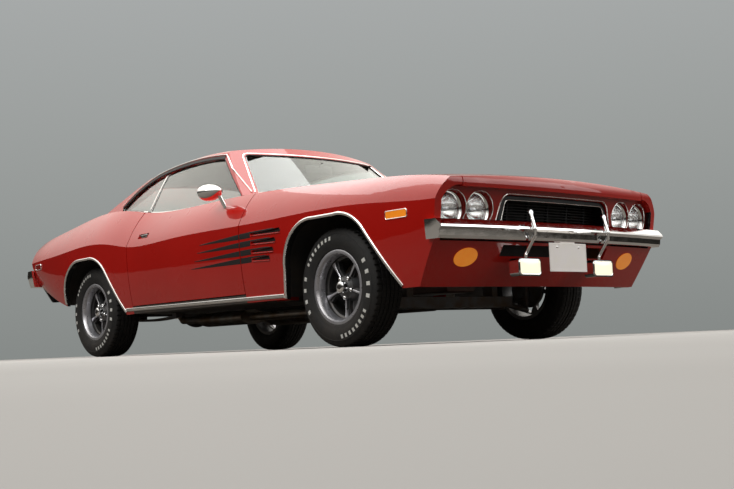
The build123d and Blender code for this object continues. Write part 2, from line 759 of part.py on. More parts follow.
def rim():
    """A five-spoke steel wheel about the Y axis, its outer face towards +Y."""
    w, t = rim_width / 2, rim_wall
    barrel = revolve(Plane.XY * outline([
        (rim_bead_radius, -w + t), (rim_bead_radius, w - t), (rim_flange_radius, w - t), (rim_flange_radius, w),
        (rim_bead_radius - 4, w), (rim_bead_radius - 12, w - 24), (rim_bead_radius - t - 14, w - rim_dish - 30),
        (rim_bead_radius - t, -w), (rim_flange_radius, -w), (rim_flange_radius, -w + t)]), Axis.Y)
    face_y = w - rim_dish
    hub_profile = outline([
        (hub_bore_radius, face_y - spoke_depth), (hub_disc_radius + 20, face_y - spoke_depth),
        (hub_disc_radius, face_y + 6), (34, face_y + 14), (30, face_y + 46), (0, face_y + 50), (0, face_y),
        (hub_bore_radius, face_y)])
    solid = barrel + revolve(Plane.XY * hub_profile, Axis.Y)
    outer_r = rim_bead_radius - t - 6
    ring = revolve(Plane.XY * outline([
        (outer_r - 16, face_y - 8), (outer_r, face_y - 2), (outer_r + 2, face_y - spoke_depth),
        (outer_r - 14, face_y - spoke_depth)]), Axis.Y)
    solid = solid + ring
    spoke = outline([(40, -17), (118, -13), (outer_r - 10, -34), (outer_r - 4, -34), (outer_r - 4, 34),
                     (outer_r - 10, 34), (118, 13), (40, 17)])
    ridge = outline([(52, -5), (outer_r - 12, -9), (outer_r - 12, 9), (52, 5)])
    for i in range(spoke_count):
        turn = Rot(0, 90 + 360 * i / spoke_count, 0)
        web = prism(spoke, "Y", face_y - spoke_depth, face_y - 6)
        rib = prism(ridge, "Y", face_y - 8, face_y + 8)
        solid = solid + turn * (web + rib)
    for i in range(stud_count):
        angle = 2 * pi * (i + 0.5) / stud_count + pi / 2
        x, z = stud_circle_radius * cos(angle), stud_circle_radius * sin(angle)
        solid = solid + Pos(x, face_y + 6, z) * Rot(90, 0, 0) * Cylinder(lug_radius, 24)
    return solid


def place_wheel(solid, x, track, side):
    """Moves a wheel piece to its axle end, its outer face away from the car."""
    placed = solid if side > 0 else mirror(solid, about=Plane.XZ)
    return Pos(x, side * track / 2, axle_z) * placed


hub_face_y = rim_width / 2 - rim_dish - spoke_depth      # the back of the wheel's disc, from its centre


def knuckle_left():
    """An upright with its spindle, brake plate and steering arm, turning about the kingpin."""
    x, y = front_axle_x, kingpin_y
    wheel_y = front_track / 2
    upright = tube((x, y, axle_z - 108), (x, y, axle_z + 108), 17)
    ball_low = Pos(x, y, axle_z - 108) * Sphere(18)
    ball_high = Pos(x, y, axle_z + 108) * Sphere(19)
    plate = tube((x, y + 8, axle_z), (x, y + 30, axle_z), 128)
    spindle = tube((x, y, axle_z), (x, wheel_y + hub_face_y + spoke_depth - 2, axle_z), spindle_radius)
    arm_z = axle_z - 92
    arm_points = [(x, y - 2, axle_z - 70), (x - 60, y - 32, arm_z + 8), (x - steer_arm_length, y - 70, arm_z)]
    arm = bar_chain(arm_points, 12, 1.03)
    eye = Pos(x - steer_arm_length, y - 70, arm_z) * Cylinder(20, 24)
    return upright + ball_low + ball_high + plate + spindle + arm + eye


def steering_link():
    """The cross link with its two tie-rod ends, just under the steering arms' eyes."""
    x, z = front_axle_x - steer_arm_length, axle_z - 92 - 12 - fit_gap
    reach = kingpin_y - 70
    bar = tube((x, -reach, z - 13), (x, reach, z - 13), 12)
    for side in (1, -1):
        bar = bar + Pos(x, side * reach, z - 13) * Cylinder(19, 26)
    return bar


def front_suspension():
    """The crossmember with its lower and upper arms."""
    x = front_axle_x
    beam = block((x - 60, -470, 205), (x + 75, 470, 268))
    for side in (1, -1):
        low_z = axle_z - 108 - 18 - 17 - 2
        beam = beam + tube((x, side * 430, 236), (x, side * kingpin_y, low_z), 17)
        tower = block((x - 40, 330, 240), (x + 40, rail_y - rail_width / 2 - seat_gap, 400))
        beam = beam + (tower if side > 0 else mirror(tower, about=Plane.XZ))
    return beam


def upper_arms():
    x, z = front_axle_x, axle_z + 108 + 22
    arm = tube((x, rail_y + 20, z + 48), (x, kingpin_y, z + 13), 14)
    foot = tube((x - 70, rail_y + rail_width / 2 + 16, z + 44), (x + 70, rail_y + rail_width / 2 + 16, z + 44), 15)
    return arm + foot


def front_frame():
    """The two front rails, the aprons over them and the radiator support."""
    x0, x1 = firewall_x + sheet + seat_gap, 2200
    apron_y = rail_y + rail_width / 2 - sheet
    half_y, half_z = rail_width / 2, rail_height / 2
    rail = block((x0, rail_y - half_y, rail_z - half_z), (x1, rail_y + half_y, rail_z + half_z))
    apron = block((x0, apron_y, rail_z), (2060, apron_y + sheet, 1000)) & body(wall + 10, 60)
    left = rail + apron + upper_arms()
    horn_z0, horn_z1 = valance_top_z + 4, header_bottom_z - 4
    left = left + block((x1 - 60, rail_y - 22, rail_z), (x1, rail_y + 22, horn_z1))
    left = left + (block((x1 - 60, rail_y - 22, horn_z0), (2500, rail_y + 22, horn_z1)) & nose(-bumper_clear + seat_gap))
    support = block((2130, -700, 340), (2150, 700, 820)) & body(wall + 12, 60) & nose(60)
    support = support - block((2100, -340, 380), (2300, 340, 740))
    solid = support
    for p in both(left):
        solid = solid + p
    house = wheelhouse(front_arch(), apron_y + sheet - 1, 300)
    for p in both(house):
        solid = solid + p
    return solid


def tunnel_shape(half, top):
    """The arched space over the gearbox and the driveshaft."""
    low = floor_z - 1
    face = make_face([Line((-half, low), (half, low)), ThreePointArc((half, low), (0, top), (-half, low))])
    return prism(face, "X", -1300, 1200)


def floor_pan():
    """The floor with its tunnel, the sills, the raised floor over the rear axle and the rear wheelhouses."""
    t = sheet
    front = firewall_x - seat_gap
    line = [(front, tunnel_z), (700, floor_z), (-980, floor_z), (-1150, trunk_floor_z), (-2260, trunk_floor_z)]
    upper = [(x, z + t) for x, z in line]
    side = outline(line + upper[::-1])
    half = 800
    pan = prism(side, "Y", -half, half)
    for y in (-half, 612):
        pan = pan - block((700, y, 200), (1000, y + half - 612, 600))
    hole = block((-1080, -tunnel_half, floor_z - 40), (1100, tunnel_half, floor_z + t + 300))
    pan = pan - hole
    tunnel = tunnel_shape(tunnel_half + t, tunnel_z + t) - tunnel_shape(tunnel_half, tunnel_z)
    tunnel = tunnel & block((-1130, -300, floor_z), (front, 300, 600))
    pan = pan + tunnel
    arches = prism(offset(rear_arch(), wheelhouse_margin + sheet), "Y", 600, far)
    front_clear = prism(offset(front_arch(), wheelhouse_margin + sheet + 2), "Y", 300, far)
    for cut in both(arches) + both(front_clear):
        pan = pan - cut
    house = wheelhouse(rear_arch(), 600, floor_z + 2)
    cheek = prism(offset(rear_arch(), wheelhouse_margin + sheet), "Y", 600, 600 + sheet)
    cheek = cheek & block((-3000, 0, 420), (3000, far, 1200))
    for p in both(house + cheek):
        pan = pan + p
    pan = pan & body(wall + seat_gap, 0)
    sill_gap = shut_gap - seat_gap
    sill = OUTER & block((door_rear_x - sill_gap, 760, body_bottom_z),
                         (door_front_x + sill_gap, far, door_bottom_z - shut_gap))
    for p in both(sill):
        pan = pan + p
    return pan


def engine():
    """The engine as one plain block, with the gearbox behind it in the tunnel."""
    return block((1090, -300, 285), (1720, 300, 850)) + block((420, -95, 255), (1091, 95, 400))


def radiator():
    return block((2090, -348, 372), (2130 - seat_gap, 348, 748))


def driveshaft():
    solid = tube((420 - seat_gap, 0, 335), (rear_axle_x + 175, 0, axle_z + 4), 36)
    return solid


def rear_axle():
    x = rear_axle_x
    half = rear_track / 2 + hub_face_y + spoke_depth - 2
    solid = tube((x, -half, axle_z), (x, half, axle_z), spindle_radius)
    solid = solid + tube((x, -590, axle_z), (x, 590, axle_z), 42)
    case = make_face([Line((-118, 0), (118, 0)), ThreePointArc((118, 0), (0, 130), (-118, 0))])
    solid = solid + Pos(x, 0, axle_z) * revolve(Plane.XY * Rot(0, 0, 90) * case, Axis.Y)
    solid = solid + tube((x, 0, axle_z), (x + 174, 0, axle_z + 4), 55)
    for side in (1, -1):
        solid = solid + tube((x, side * 690, axle_z), (x, side * 720, axle_z), 128)
    return solid


def leaf_springs():
    """A long spring under each end of the axle, from its front hanger to the rear shackle."""
    x, low = rear_axle_x, axle_z - 42 - seat_gap
    width, y = 62, 500
    blade = make_face([
        ThreePointArc((x + 560, 276), (x + 20, 268), (x - 700, 396)),
        Line((x - 700, 396), (x - 700, 380)),
        ThreePointArc((x - 700, 380), (x + 20, 250), (x + 560, 262)),
        Line((x + 560, 262), (x + 560, 276)),
    ])
    y0, y1 = y - width / 2, y + width / 2
    solid = prism(blade, "Y", y0, y1)
    pad = block((x - 60, y0, 256), (x + 60, y1, low))
    front_eye = block((x + 520, y0, 260), (x + 575, y1, floor_z - seat_gap))
    shackle = block((x - 712, y0 + 10, 384), (x - 694, y1 - 10, trunk_floor_z - seat_gap))
    return both(solid + pad + front_eye + shackle)


def exhaust():
    """Twin pipes with a silencer each, then over the axle to the tail."""
    r, y, z = 27, 300, 232
    box_rear, box_length, engagement = -660, 540, 60
    box_front = box_rear + box_length
    front_end = (box_front - engagement, y, z)
    front_pipe = bar_chain([(1180, 336, 440), (1150, 336, 262), (1040, y, z), front_end], r)
    box_end = Plane(origin=(box_rear, y, z), x_dir=(0, 1, 0), z_dir=(1, 0, 0))
    box = extrude(box_end * Ellipse(100, 50), amount=box_length)
    rear_pipe = bar_chain([
        (box_rear + engagement, y, z), (-985, y + 18, 243), (-1165, y + 30, 425),
        (-1450, y + 50, 430), (-1700, y + 125, 300), (-2260, y + 130, 330), (-2330, y + 130, 330),
    ], r)
    pipe_bore = tube((-2331, y + 130, 330), (-2200, y + 130, 330), r - 3)
    return both(front_pipe + box + rear_pipe - pipe_bore)


def fuel_tank():
    tank = block((-2070, -360, 335), (-1590, 360, trunk_floor_z - seat_gap))
    return fillet(tank.edges().filter_by(Axis.Y), 40)


# Cabin furniture

wheel_hub = (258, 372, 862)          # the steering wheel's centre
column_slope = 24                    # degrees below the horizontal, going forward
column_direction = (cos(radians(column_slope)), 0, -sin(radians(column_slope)))


def dashboard():
    profile = make_face([
        Polyline((470, 735), (430, 800), (440, 880)),
        ThreePointArc((440, 880), (510, 915), (640, 905)),
        Polyline((640, 905), (690, 740), (470, 735)),
    ])
    pad = prism(profile, "Y", -612, 612) & screen(30)
    start = Vector(*wheel_hub) + Vector(*column_direction) * 34
    end = Vector(*wheel_hub) + Vector(*column_direction) * 300
    return pad + tube(tuple(start), tuple(end), 34)


def steering_wheel():
    ring_radius, grip = 188, 13
    ring = Torus(ring_radius, grip)
    hub = Cylinder(46, 36)
    solid = ring + hub
    for angle in (0, 180, 270):
        spoke = Rot(0, 0, angle) * Pos(ring_radius / 2, 0, 0) * Box(ring_radius, 22, 6)
        solid = solid + spoke
    plane = Plane(origin=wheel_hub, x_dir=(0, 1, 0), z_dir=(-column_direction[0], 0, -column_direction[2]))
    shaft = tube(tuple(Vector(*wheel_hub) + Vector(*column_direction) * 10),
                 tuple(Vector(*wheel_hub) + Vector(*column_direction) * (34 - fit_gap)), 20)
    return plane * solid + shaft


def front_seats():
    """Two bucket seats, each a cushion, a raked back with its head rest, and a low base."""
    back_profile = make_face([
        Polyline((-190, 380), (-60, 420)),
        ThreePointArc((-60, 420), (-150, 640), (-235, 830)),
        Polyline((-235, 830), (-290, 975), (-350, 975), (-380, 820), (-300, 380), (-190, 380)),
    ])
    back = prism(back_profile, "Y", 176, 596)
    cushion = block((-260, 168, 350), (240, 604, 470))
    cushion = fillet(cushion.edges().filter_by(Axis.Z), 60)
    base = block((-200, 200, floor_z + sheet + seat_gap), (200, 540, 351))
    return both(cushion + back + base)


def rear_seat():
    cushion = block((-960, -560, 322), (-640, 560, 482))
    back = prism(outline([(-900, 440), (-1080, 520), (-1150, 900), (-1060, 915)]), "Y", -560, 560)
    base = block((-820, 200, floor_z + sheet + seat_gap), (-660, 540, 323))
    base = base + mirror(base, about=Plane.XZ)
    return (cushion + back + base) - tunnel_shape(tunnel_half + sheet + 4, tunnel_z + sheet + 4)


def export(name, shape):
    solids = shape if isinstance(shape, list) else [shape]
    flat = []
    for s in solids:
        flat += list(s.solids())
    compound = flat[0] if len(flat) == 1 else Compound(children=flat)
    export_step(compound, f"parts/{name}.step")


def main():
    os.makedirs("parts", exist_ok=True)
    door_solid, glass_solid, mirror_solid = door(), door_glass(), mirror_left()
    nodes = {
        "front_fenders": front_fenders(),
        "cowl": cowl(),
        "quarter_panels": quarter_panels(),
        "rear_shelf": rear_shelf(),
        "tail_panel": tail_panel(),
        "header_panel": header_panel(),
        "front_valance": front_valance(),
        "roof": roof(),
        "windows": windows(),
        "front_bumper": front_bumper(),
        "rear_bumper": rear_bumper(),
        "grille": grille(),
        "headlamps": headlamps(),
        "amber_lamps": amber_lamps(),
        "red_lamps": red_lamps(),
        "fog_lamps": fog_lamps(),
        "front_plate": front_plate(),
        "floor_pan": floor_pan(),
        "front_frame": front_frame(),
        "engine": engine(),
        "radiator": radiator(),
        "front_suspension": front_suspension(),
        "rear_axle": rear_axle(),
        "leaf_springs": leaf_springs(),
        "driveshaft": driveshaft(),
        "exhaust": exhaust(),
        "fuel_tank": fuel_tank(),
        "dashboard": dashboard(),
        "front_seats": front_seats(),
        "rear_seat": rear_seat(),
        "hood": hood(),
        "decklid": decklid(),
        "door_left": door_solid,
        "door_right": mirror(door_solid, about=Plane.XZ),
        "door_glass_left": glass_solid,
        "door_glass_right": mirror(glass_solid, about=Plane.XZ),
        "mirror_left": mirror_solid,
        "mirror_right": mirror(mirror_solid, about=Plane.XZ),
        "steering_wheel": steering_wheel(),
        "steering_link": steering_link(),
        "knuckle_left": knuckle_left(),
        "knuckle_right": mirror(knuckle_left(), about=Plane.XZ),
    }
    rim_solid, tyre_solid = rim(), tyre()
    for end, x, track in (("front", front_axle_x, front_track), ("rear", rear_axle_x, rear_track)):
        for side, sign in (("left", 1), ("right", -1)):
            nodes[f"tyre_{end}_{side}"] = place_wheel(tyre_solid, x, track, sign)
            nodes[f"rim_{end}_{side}"] = place_wheel(rim_solid, x, track, sign)
    for name, shape in nodes.items():
        export(name, shape)


if __name__ == "__main__":
    main()
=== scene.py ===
from math import atan2, cos, hypot, pi, radians, sin, tan

import bmesh
import bpy
import numpy as np
from mathutils import Matrix, Vector
from mathutils.bvhtree import BVHTree


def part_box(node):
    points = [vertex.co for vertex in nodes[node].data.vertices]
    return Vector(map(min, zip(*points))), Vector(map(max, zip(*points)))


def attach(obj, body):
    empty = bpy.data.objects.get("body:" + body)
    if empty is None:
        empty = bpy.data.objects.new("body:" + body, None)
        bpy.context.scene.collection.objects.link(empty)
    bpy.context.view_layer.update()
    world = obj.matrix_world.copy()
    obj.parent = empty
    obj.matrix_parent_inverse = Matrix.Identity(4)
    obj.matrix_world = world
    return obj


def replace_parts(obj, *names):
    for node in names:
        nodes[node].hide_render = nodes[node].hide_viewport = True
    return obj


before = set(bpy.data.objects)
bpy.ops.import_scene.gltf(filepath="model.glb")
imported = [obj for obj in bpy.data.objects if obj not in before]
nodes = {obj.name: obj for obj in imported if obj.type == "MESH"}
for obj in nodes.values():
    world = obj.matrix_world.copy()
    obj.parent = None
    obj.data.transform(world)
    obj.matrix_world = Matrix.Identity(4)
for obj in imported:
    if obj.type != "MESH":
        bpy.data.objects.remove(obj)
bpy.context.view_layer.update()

SIDES = (("left", 1), ("right", -1))
FRONT_AXLE, REAR_AXLE, AXLE_Z = 1.483, -1.311, 0.328
WHEEL_Y = {"front": 0.758, "rear": 0.771}


# Camera, floor and lights

CAMERA_AT = (6.245, -4.749, 0.01)
CAMERA_YAW, CAMERA_PITCH, CAMERA_ROLL = radians(139.13), radians(5.06), radians(-2.39)
FOCAL_PX, FRAME_PX, SENSOR = 1128.3, 734, 36.0


def add_camera():
    level = cos(CAMERA_PITCH)
    forward = Vector((level * cos(CAMERA_YAW), level * sin(CAMERA_YAW), sin(CAMERA_PITCH)))
    right = forward.cross(Vector((0, 0, 1))).normalized()
    up = right.cross(forward)
    c, s = cos(CAMERA_ROLL), sin(CAMERA_ROLL)
    turned = Matrix((c * right + s * up, -s * right + c * up, -forward)).transposed().to_4x4()
    data = bpy.data.cameras.new("camera")
    data.sensor_fit, data.sensor_width = "HORIZONTAL", SENSOR
    data.lens = FOCAL_PX / FRAME_PX * SENSOR
    data.clip_start, data.clip_end = 0.01, 300
    camera = bpy.data.objects.new("camera", data)
    camera.matrix_world = Matrix.Translation(CAMERA_AT) @ turned
    bpy.context.scene.collection.objects.link(camera)
    bpy.context.scene.camera = camera


def add_lamp(name, at, towards, size, power):
    data = bpy.data.lights.new(name, "AREA")
    data.shape, data.size, data.size_y = "RECTANGLE", size[0], size[1]
    data.energy = power
    lamp = bpy.data.objects.new(name, data)
    lamp.location = at
    lamp.rotation_mode = "QUATERNION"
    lamp.rotation_quaternion = (Vector(towards) - Vector(at)).to_track_quat("-Z", "Y")
    bpy.context.scene.collection.objects.link(lamp)


def calc(tree, operation, a, b):
    """A maths node on two values, each a number or another node's output."""
    node = tree.nodes.new("ShaderNodeMath")
    node.operation = operation
    for socket, value in zip(node.inputs, (a, b)):
        if isinstance(value, float):
            socket.default_value = value
        else:
            tree.links.new(value, socket)
    return node.outputs[0]


def blend(tree, share, first, second):
    """A colour between two, each a colour or another node's output."""
    node = tree.nodes.new("ShaderNodeMixRGB")
    tree.links.new(share, node.inputs["Fac"])
    for key, value in (("Color1", first), ("Color2", second)):
        if isinstance(value, tuple):
            node.inputs[key].default_value = (*value, 1)
        else:
            tree.links.new(value, node.inputs[key])
    return node.outputs["Color"]


def parts_of(tree, vector):
    """The X, Y and Z of a node's output."""
    split = tree.nodes.new("ShaderNodeSeparateXYZ")
    tree.links.new(vector, split.inputs[0])
    return split.outputs


def ramp(tree, value, stops):
    """A colour for each value, from (place, colour) stops."""
    node = tree.nodes.new("ShaderNodeValToRGB")
    elements = node.color_ramp.elements
    for i, (place, shade) in enumerate(stops):
        element = elements[i] if i < 2 else elements.new(place)
        element.position, element.color = place, (*shade, 1)
    tree.links.new(value, node.inputs["Fac"])
    return node.outputs["Color"]


def add_world():
    """A plain backdrop. Surfaces see dim surroundings, an open sky, and in gloss a darker horizon."""
    world = bpy.data.worlds.new("studio")
    bpy.context.scene.world = world
    world.use_nodes = True
    tree = world.node_tree
    height = parts_of(tree, tree.nodes.new("ShaderNodeTexCoord").outputs["Generated"])["Z"]
    plain = ramp(tree, height, [(0.0, (0.3, 0.32, 0.31)), (0.55, (0.62, 0.64, 0.65)),
                                (0.16, (0.4, 0.42, 0.41))])
    lit = ramp(tree, height, [(0.0, (0.07, 0.065, 0.055)), (0.95, (1.0, 1.0, 1.0)),
                              (0.22, (0.12, 0.115, 0.1)), (0.45, (0.42, 0.43, 0.43)),
                              (0.7, (0.85, 0.87, 0.9))])
    shine = ramp(tree, height, [(0.0, (0.02, 0.018, 0.015)), (0.8, (2.5, 2.4, 2.2)),
                                (0.14, (0.05, 0.045, 0.04)), (0.28, (0.7, 0.66, 0.6)),
                                (0.48, (2.2, 2.1, 1.95))])
    path = tree.nodes.new("ShaderNodeLightPath").outputs
    mirrored = calc(tree, "GREATER_THAN", path["Glossy Depth"], 0.5)
    shines = calc(tree, "MAXIMUM", path["Is Glossy Ray"], mirrored)
    through = calc(tree, "SUBTRACT", path["Is Transmission Ray"], mirrored)
    seen = calc(tree, "MAXIMUM", path["Is Camera Ray"], through)
    back = tree.nodes["Background"]
    tree.links.new(blend(tree, seen, blend(tree, shines, lit, shine), plain), back.inputs["Color"])
    back.inputs["Strength"].default_value = 0.8


# Materials

def noise(tree, where, scale, detail):
    n = tree.nodes.new("ShaderNodeTexNoise")
    n.inputs["Scale"].default_value, n.inputs["Detail"].default_value = scale, detail
    tree.links.new(where, n.inputs["Vector"])
    return n.outputs["Fac"]


def spread(tree, value, low, high, start=0.3, end=0.7):
    m = tree.nodes.new("ShaderNodeMapRange")
    for socket, number in zip(("From Min", "From Max", "To Min", "To Max"), (start, end, low, high)):
        m.inputs[socket].default_value = number
    tree.links.new(value, m.inputs["Value"])
    return m.outputs["Result"]


def material(name, colour, rough, metal=0.0, other=None, patch=5.0, grain=0.0, bump=0.15, rough_vary=0.04,
             dust=None, flutes=0.0, coat=0.0, coat_rough=0.03, specular=0.5, clear=0.0, glow=None):
    """A surface whose colour drifts to other in patches, with a grain or flutes, and dust low down."""
    m = bpy.data.materials.new(name)
    m.use_nodes = True
    tree = m.node_tree
    link = tree.links.new
    shader = tree.nodes["Principled BSDF"]
    where = tree.nodes.new("ShaderNodeTexCoord").outputs["Object"]
    other = other or tuple(c * 0.86 for c in colour)
    out = ramp(tree, noise(tree, where, patch, 4), [(0.34, other), (0.66, colour)])
    if dust:
        low, high, amount, shade = dust
        height = spread(tree, parts_of(tree, where)["Z"], amount, 0.0, low, high)
        specks = spread(tree, noise(tree, where, 26, 6), 0.15, 1.0, 0.38, 0.66)
        out = blend(tree, calc(tree, "MULTIPLY", height, specks), out, shade)
    link(out, shader.inputs["Base Color"])
    link(spread(tree, noise(tree, where, patch * 3.1, 5), rough - rough_vary, rough + rough_vary),
         shader.inputs["Roughness"])
    shader.inputs["Metallic"].default_value = metal
    height = noise(tree, where, grain, 2) if grain else None
    if flutes:
        wave = tree.nodes.new("ShaderNodeTexWave")
        wave.bands_direction = "Y"
        wave.inputs["Scale"].default_value = flutes
        wave.inputs["Distortion"].default_value = 0.0
        link(where, wave.inputs["Vector"])
        height = wave.outputs["Fac"]
    if height:
        lift = tree.nodes.new("ShaderNodeBump")
        lift.inputs["Strength"].default_value = bump
        lift.inputs["Distance"].default_value = 0.002
        link(height, lift.inputs["Height"])
        link(lift.outputs["Normal"], shader.inputs["Normal"])
    for socket, value in (("Coat Weight", coat), ("Coat Roughness", coat_rough),
                          ("Specular IOR Level", specular),
                          ("Transmission Weight", clear)):
        shader.inputs[socket].default_value = value
    if clear:
        shader.inputs["IOR"].default_value = GLASS_IOR
    if glow:
        shader.inputs["Emission Color"].default_value = (*glow[0], 1)
        shader.inputs["Emission Strength"].default_value = glow[1]
    return m


GLASS_IOR = 1.45
#  dust: from this height to that one, its share at the bottom, its colour
DUST = (0.28, 0.5, 0.07, (0.23, 0.15, 0.09))
#  colours as shades of linear light, other the colour that patches drift to
M = {
    "paint": material("paint", (0.5, 0.01, 0.006), 0.3, other=(0.46, 0.009, 0.005), patch=2.2, dust=DUST,
                      coat=0.85, coat_rough=0.03, specular=0.05),
    # a darker copy of the body paint for the header panel round the lamps: painted shade of its recess
    # under the hood's lip
    "lamp_panel": material("lamp_panel", (0.3, 0.007, 0.004), 0.32, coat=0.6, coat_rough=0.06,
                           specular=0.1),
    "black_paint": material("black_paint", (0.018, 0.018, 0.019), 0.38, grain=300, bump=0.05, dust=DUST),
    "tape": material("tape", (0.012, 0.009, 0.009), 0.5, patch=9, grain=500, bump=0.03, coat=0.15,
                     coat_rough=0.2, specular=0.3),
    "chrome": material("chrome", (0.86, 0.87, 0.88), 0.07, 1.0, other=(0.78, 0.79, 0.81), patch=7, grain=60,
                       bump=0.012, rough_vary=0.035),
    "bright": material("bright_trim", (0.88, 0.88, 0.87), 0.16, 1.0, other=(0.8, 0.8, 0.8), patch=16,
                       grain=220, bump=0.03, rough_vary=0.05),
    "gunmetal": material("gunmetal", (0.085, 0.088, 0.092), 0.36, 0.55, patch=22, grain=260, bump=0.06,
                         dust=(0.05, 0.6, 0.25, (0.19, 0.13, 0.09))),
    "tyre": material("tyre_rubber", (0.012, 0.012, 0.0125), 0.7, other=(0.018, 0.017, 0.016), patch=30,
                     grain=700, bump=0.25, dust=(-0.05, 0.3, 0.22, (0.1, 0.075, 0.055)), specular=0.3),
    "tyre_white": material("tyre_white", (0.78, 0.77, 0.72), 0.6, other=(0.64, 0.62, 0.56), patch=40,
                           grain=500, bump=0.1),
    "glass": material("clear_glass", (0.86, 0.93, 0.9), 0.02, other=(0.84, 0.91, 0.88), patch=3,
                      rough_vary=0.015, clear=1.0),
    "lens": material("lamp_lens", (0.97, 0.98, 0.99), 0.02, other=(0.95, 0.96, 0.97), patch=9,
                     rough_vary=0.01, flutes=55, bump=0.18, clear=1.0),
    "amber": material("amber_lens", (0.95, 0.3, 0.02), 0.14, other=(0.85, 0.22, 0.01), patch=20, grain=90,
                      bump=0.2, coat=1.0, glow=((1.0, 0.3, 0.02), 0.35)),
    "amber_dull": material("amber_marker", (0.85, 0.27, 0.05), 0.16, grain=90, bump=0.2, coat=1.0),
    "red_lens": material("red_lens", (0.42, 0.01, 0.008), 0.14, patch=16, flutes=40, bump=0.3, coat=1.0),
    "fog_glow": material("fog_glow", (0.95, 0.9, 0.72), 0.2, patch=14, flutes=60, bump=0.3, coat=1.0,
                         glow=((1.0, 0.9, 0.66), 0.9)),
    "grille_black": material("grille_black", (0.006, 0.006, 0.0065), 0.5, grain=260, bump=0.1,
                             specular=0.2),
    "argent": material("argent_paint", (0.5, 0.5, 0.53), 0.3, 0.75, other=(0.44, 0.44, 0.47), patch=14,
                       grain=320, bump=0.04),
    # the plate paint glows a little though it is no lamp: painted light that brightens the plates in shade
    "plate": material("plate_paint_painted_glow", (0.95, 0.91, 0.86), 0.42, other=(0.9, 0.86, 0.8), patch=12, grain=300,
                      bump=0.06, glow=((1.0, 0.9, 0.84), 0.14)),
    "chassis": material("chassis_black", (0.028, 0.028, 0.029), 0.6, other=(0.045, 0.038, 0.032), patch=7,
                        grain=90, bump=0.2, dust=(0.15, 0.6, 0.35, (0.13, 0.09, 0.06))),
    "cast": material("cast_metal", (0.15, 0.15, 0.155), 0.55, 0.6, other=(0.12, 0.085, 0.06), patch=12,
                     grain=160, bump=0.35),
    "engine": material("engine_paint", (0.1, 0.035, 0.02), 0.45, 0.2, other=(0.07, 0.03, 0.02), patch=9,
                       grain=120, bump=0.25),
    "exhaust": material("exhaust_metal", (0.34, 0.32, 0.29), 0.42, 0.9, other=(0.22, 0.15, 0.1), patch=9,
                        grain=120, bump=0.2),
    "radiator": material("radiator_black", (0.03, 0.03, 0.03), 0.5, 0.3, patch=10, flutes=120, bump=0.6),
    "rubber": material("seal_rubber", (0.016, 0.016, 0.016), 0.65, grain=300, bump=0.1),
    "trim_black": material("trim_black", (0.022, 0.022, 0.023), 0.5, grain=600, bump=0.3),
    "vinyl": material("seat_vinyl", (0.03, 0.028, 0.027), 0.42, other=(0.022, 0.021, 0.02), patch=8,
                      grain=650, bump=0.35, specular=0.45),
    "black_gloss": material("black_gloss", (0.014, 0.014, 0.015), 0.28, patch=12, grain=240, bump=0.05,
                            coat=0.6, dust=(0.5, 1.0, 0.25, (0.1, 0.08, 0.06))),
    "lining": material("roof_lining", (0.045, 0.044, 0.042), 0.8, patch=9, grain=900, bump=0.4),
    "gauge": material("gauge_face", (0.02, 0.02, 0.022), 0.3, patch=60, coat=1.0),
    "mirror_face": material("mirror_face", (0.9, 0.91, 0.92), 0.02, 1.0, patch=3, rough_vary=0.01),
}

NODE_MATERIAL = {
    "roof_paint": ["roof"],
    "wing_paint": ["front_fenders", "quarter_panels"],
    "paint": ["cowl", "rear_shelf", "front_valance", "hood", "decklid", "door_left", "door_right"],
    "black_paint": ["tail_panel"],
    "lamp_panel": ["header_panel"],
    "glass": ["windows", "door_glass_left", "door_glass_right"],
    "chrome": ["front_bumper", "rear_bumper", "fog_lamps", "mirror_left", "mirror_right"],
    "grille_black": ["grille"],
    "lens": ["headlamps"],
    "amber": ["amber_lamps"],
    "red_lens": ["red_lamps"],
    "plate": ["front_plate"],
    "chassis": ["floor_pan", "front_frame"],
    "engine": ["engine"],
    "radiator": ["radiator"],
    "cast": ["front_suspension", "rear_axle", "leaf_springs", "steering_link", "knuckle_left",
             "knuckle_right"],
    "exhaust": ["driveshaft", "exhaust", "fuel_tank"],
    "trim_black": ["dashboard", "steering_wheel"],
    "vinyl": ["front_seats", "rear_seat"],
    "gunmetal": ["rim_front_left", "rim_front_right", "rim_rear_left", "rim_rear_right"],
    "tyre": ["tyre_front_left", "tyre_front_right", "tyre_rear_left", "tyre_rear_right"],
}


def lined(outer, name, lining, inward):
    """The material with a dark lining on the faces that inward(tree, place, facing) picks out."""
    m = outer.copy()
    m.name = name
    tree = m.node_tree
    base = tree.nodes["Principled BSDF"].inputs["Base Color"]
    place = parts_of(tree, tree.nodes.new("ShaderNodeTexCoord").outputs["Object"])
    facing = parts_of(tree, tree.nodes.new("ShaderNodeNewGeometry").outputs["True Normal"])
    share = inward(tree, place, facing)
    tree.links.new(blend(tree, share, base.links[0].from_socket, lining), base)
    return m


def towards(tree, place, facing, centre):
    """Below 0 where a face looks to the centre. A centre's axis that is None is left out."""
    total = 0.0
    for axis, middle in zip("XYZ", centre):
        if middle is not None:
            offset = calc(tree, "SUBTRACT", place[axis], middle)
            total = calc(tree, "ADD", total, calc(tree, "MULTIPLY", offset, facing[axis]))
    return total


def faces_cabin(tree, place, facing):
    return calc(tree, "LESS_THAN", towards(tree, place, facing, (-0.3, 0.0, 1.0)), 0.0)


#  the heights up to which a panel's inner side and an arch's inside are dark, and the arch's reach
INNER_TOP, ARCH_TOP, ARCH_REACH = 0.72, 0.722, 0.6


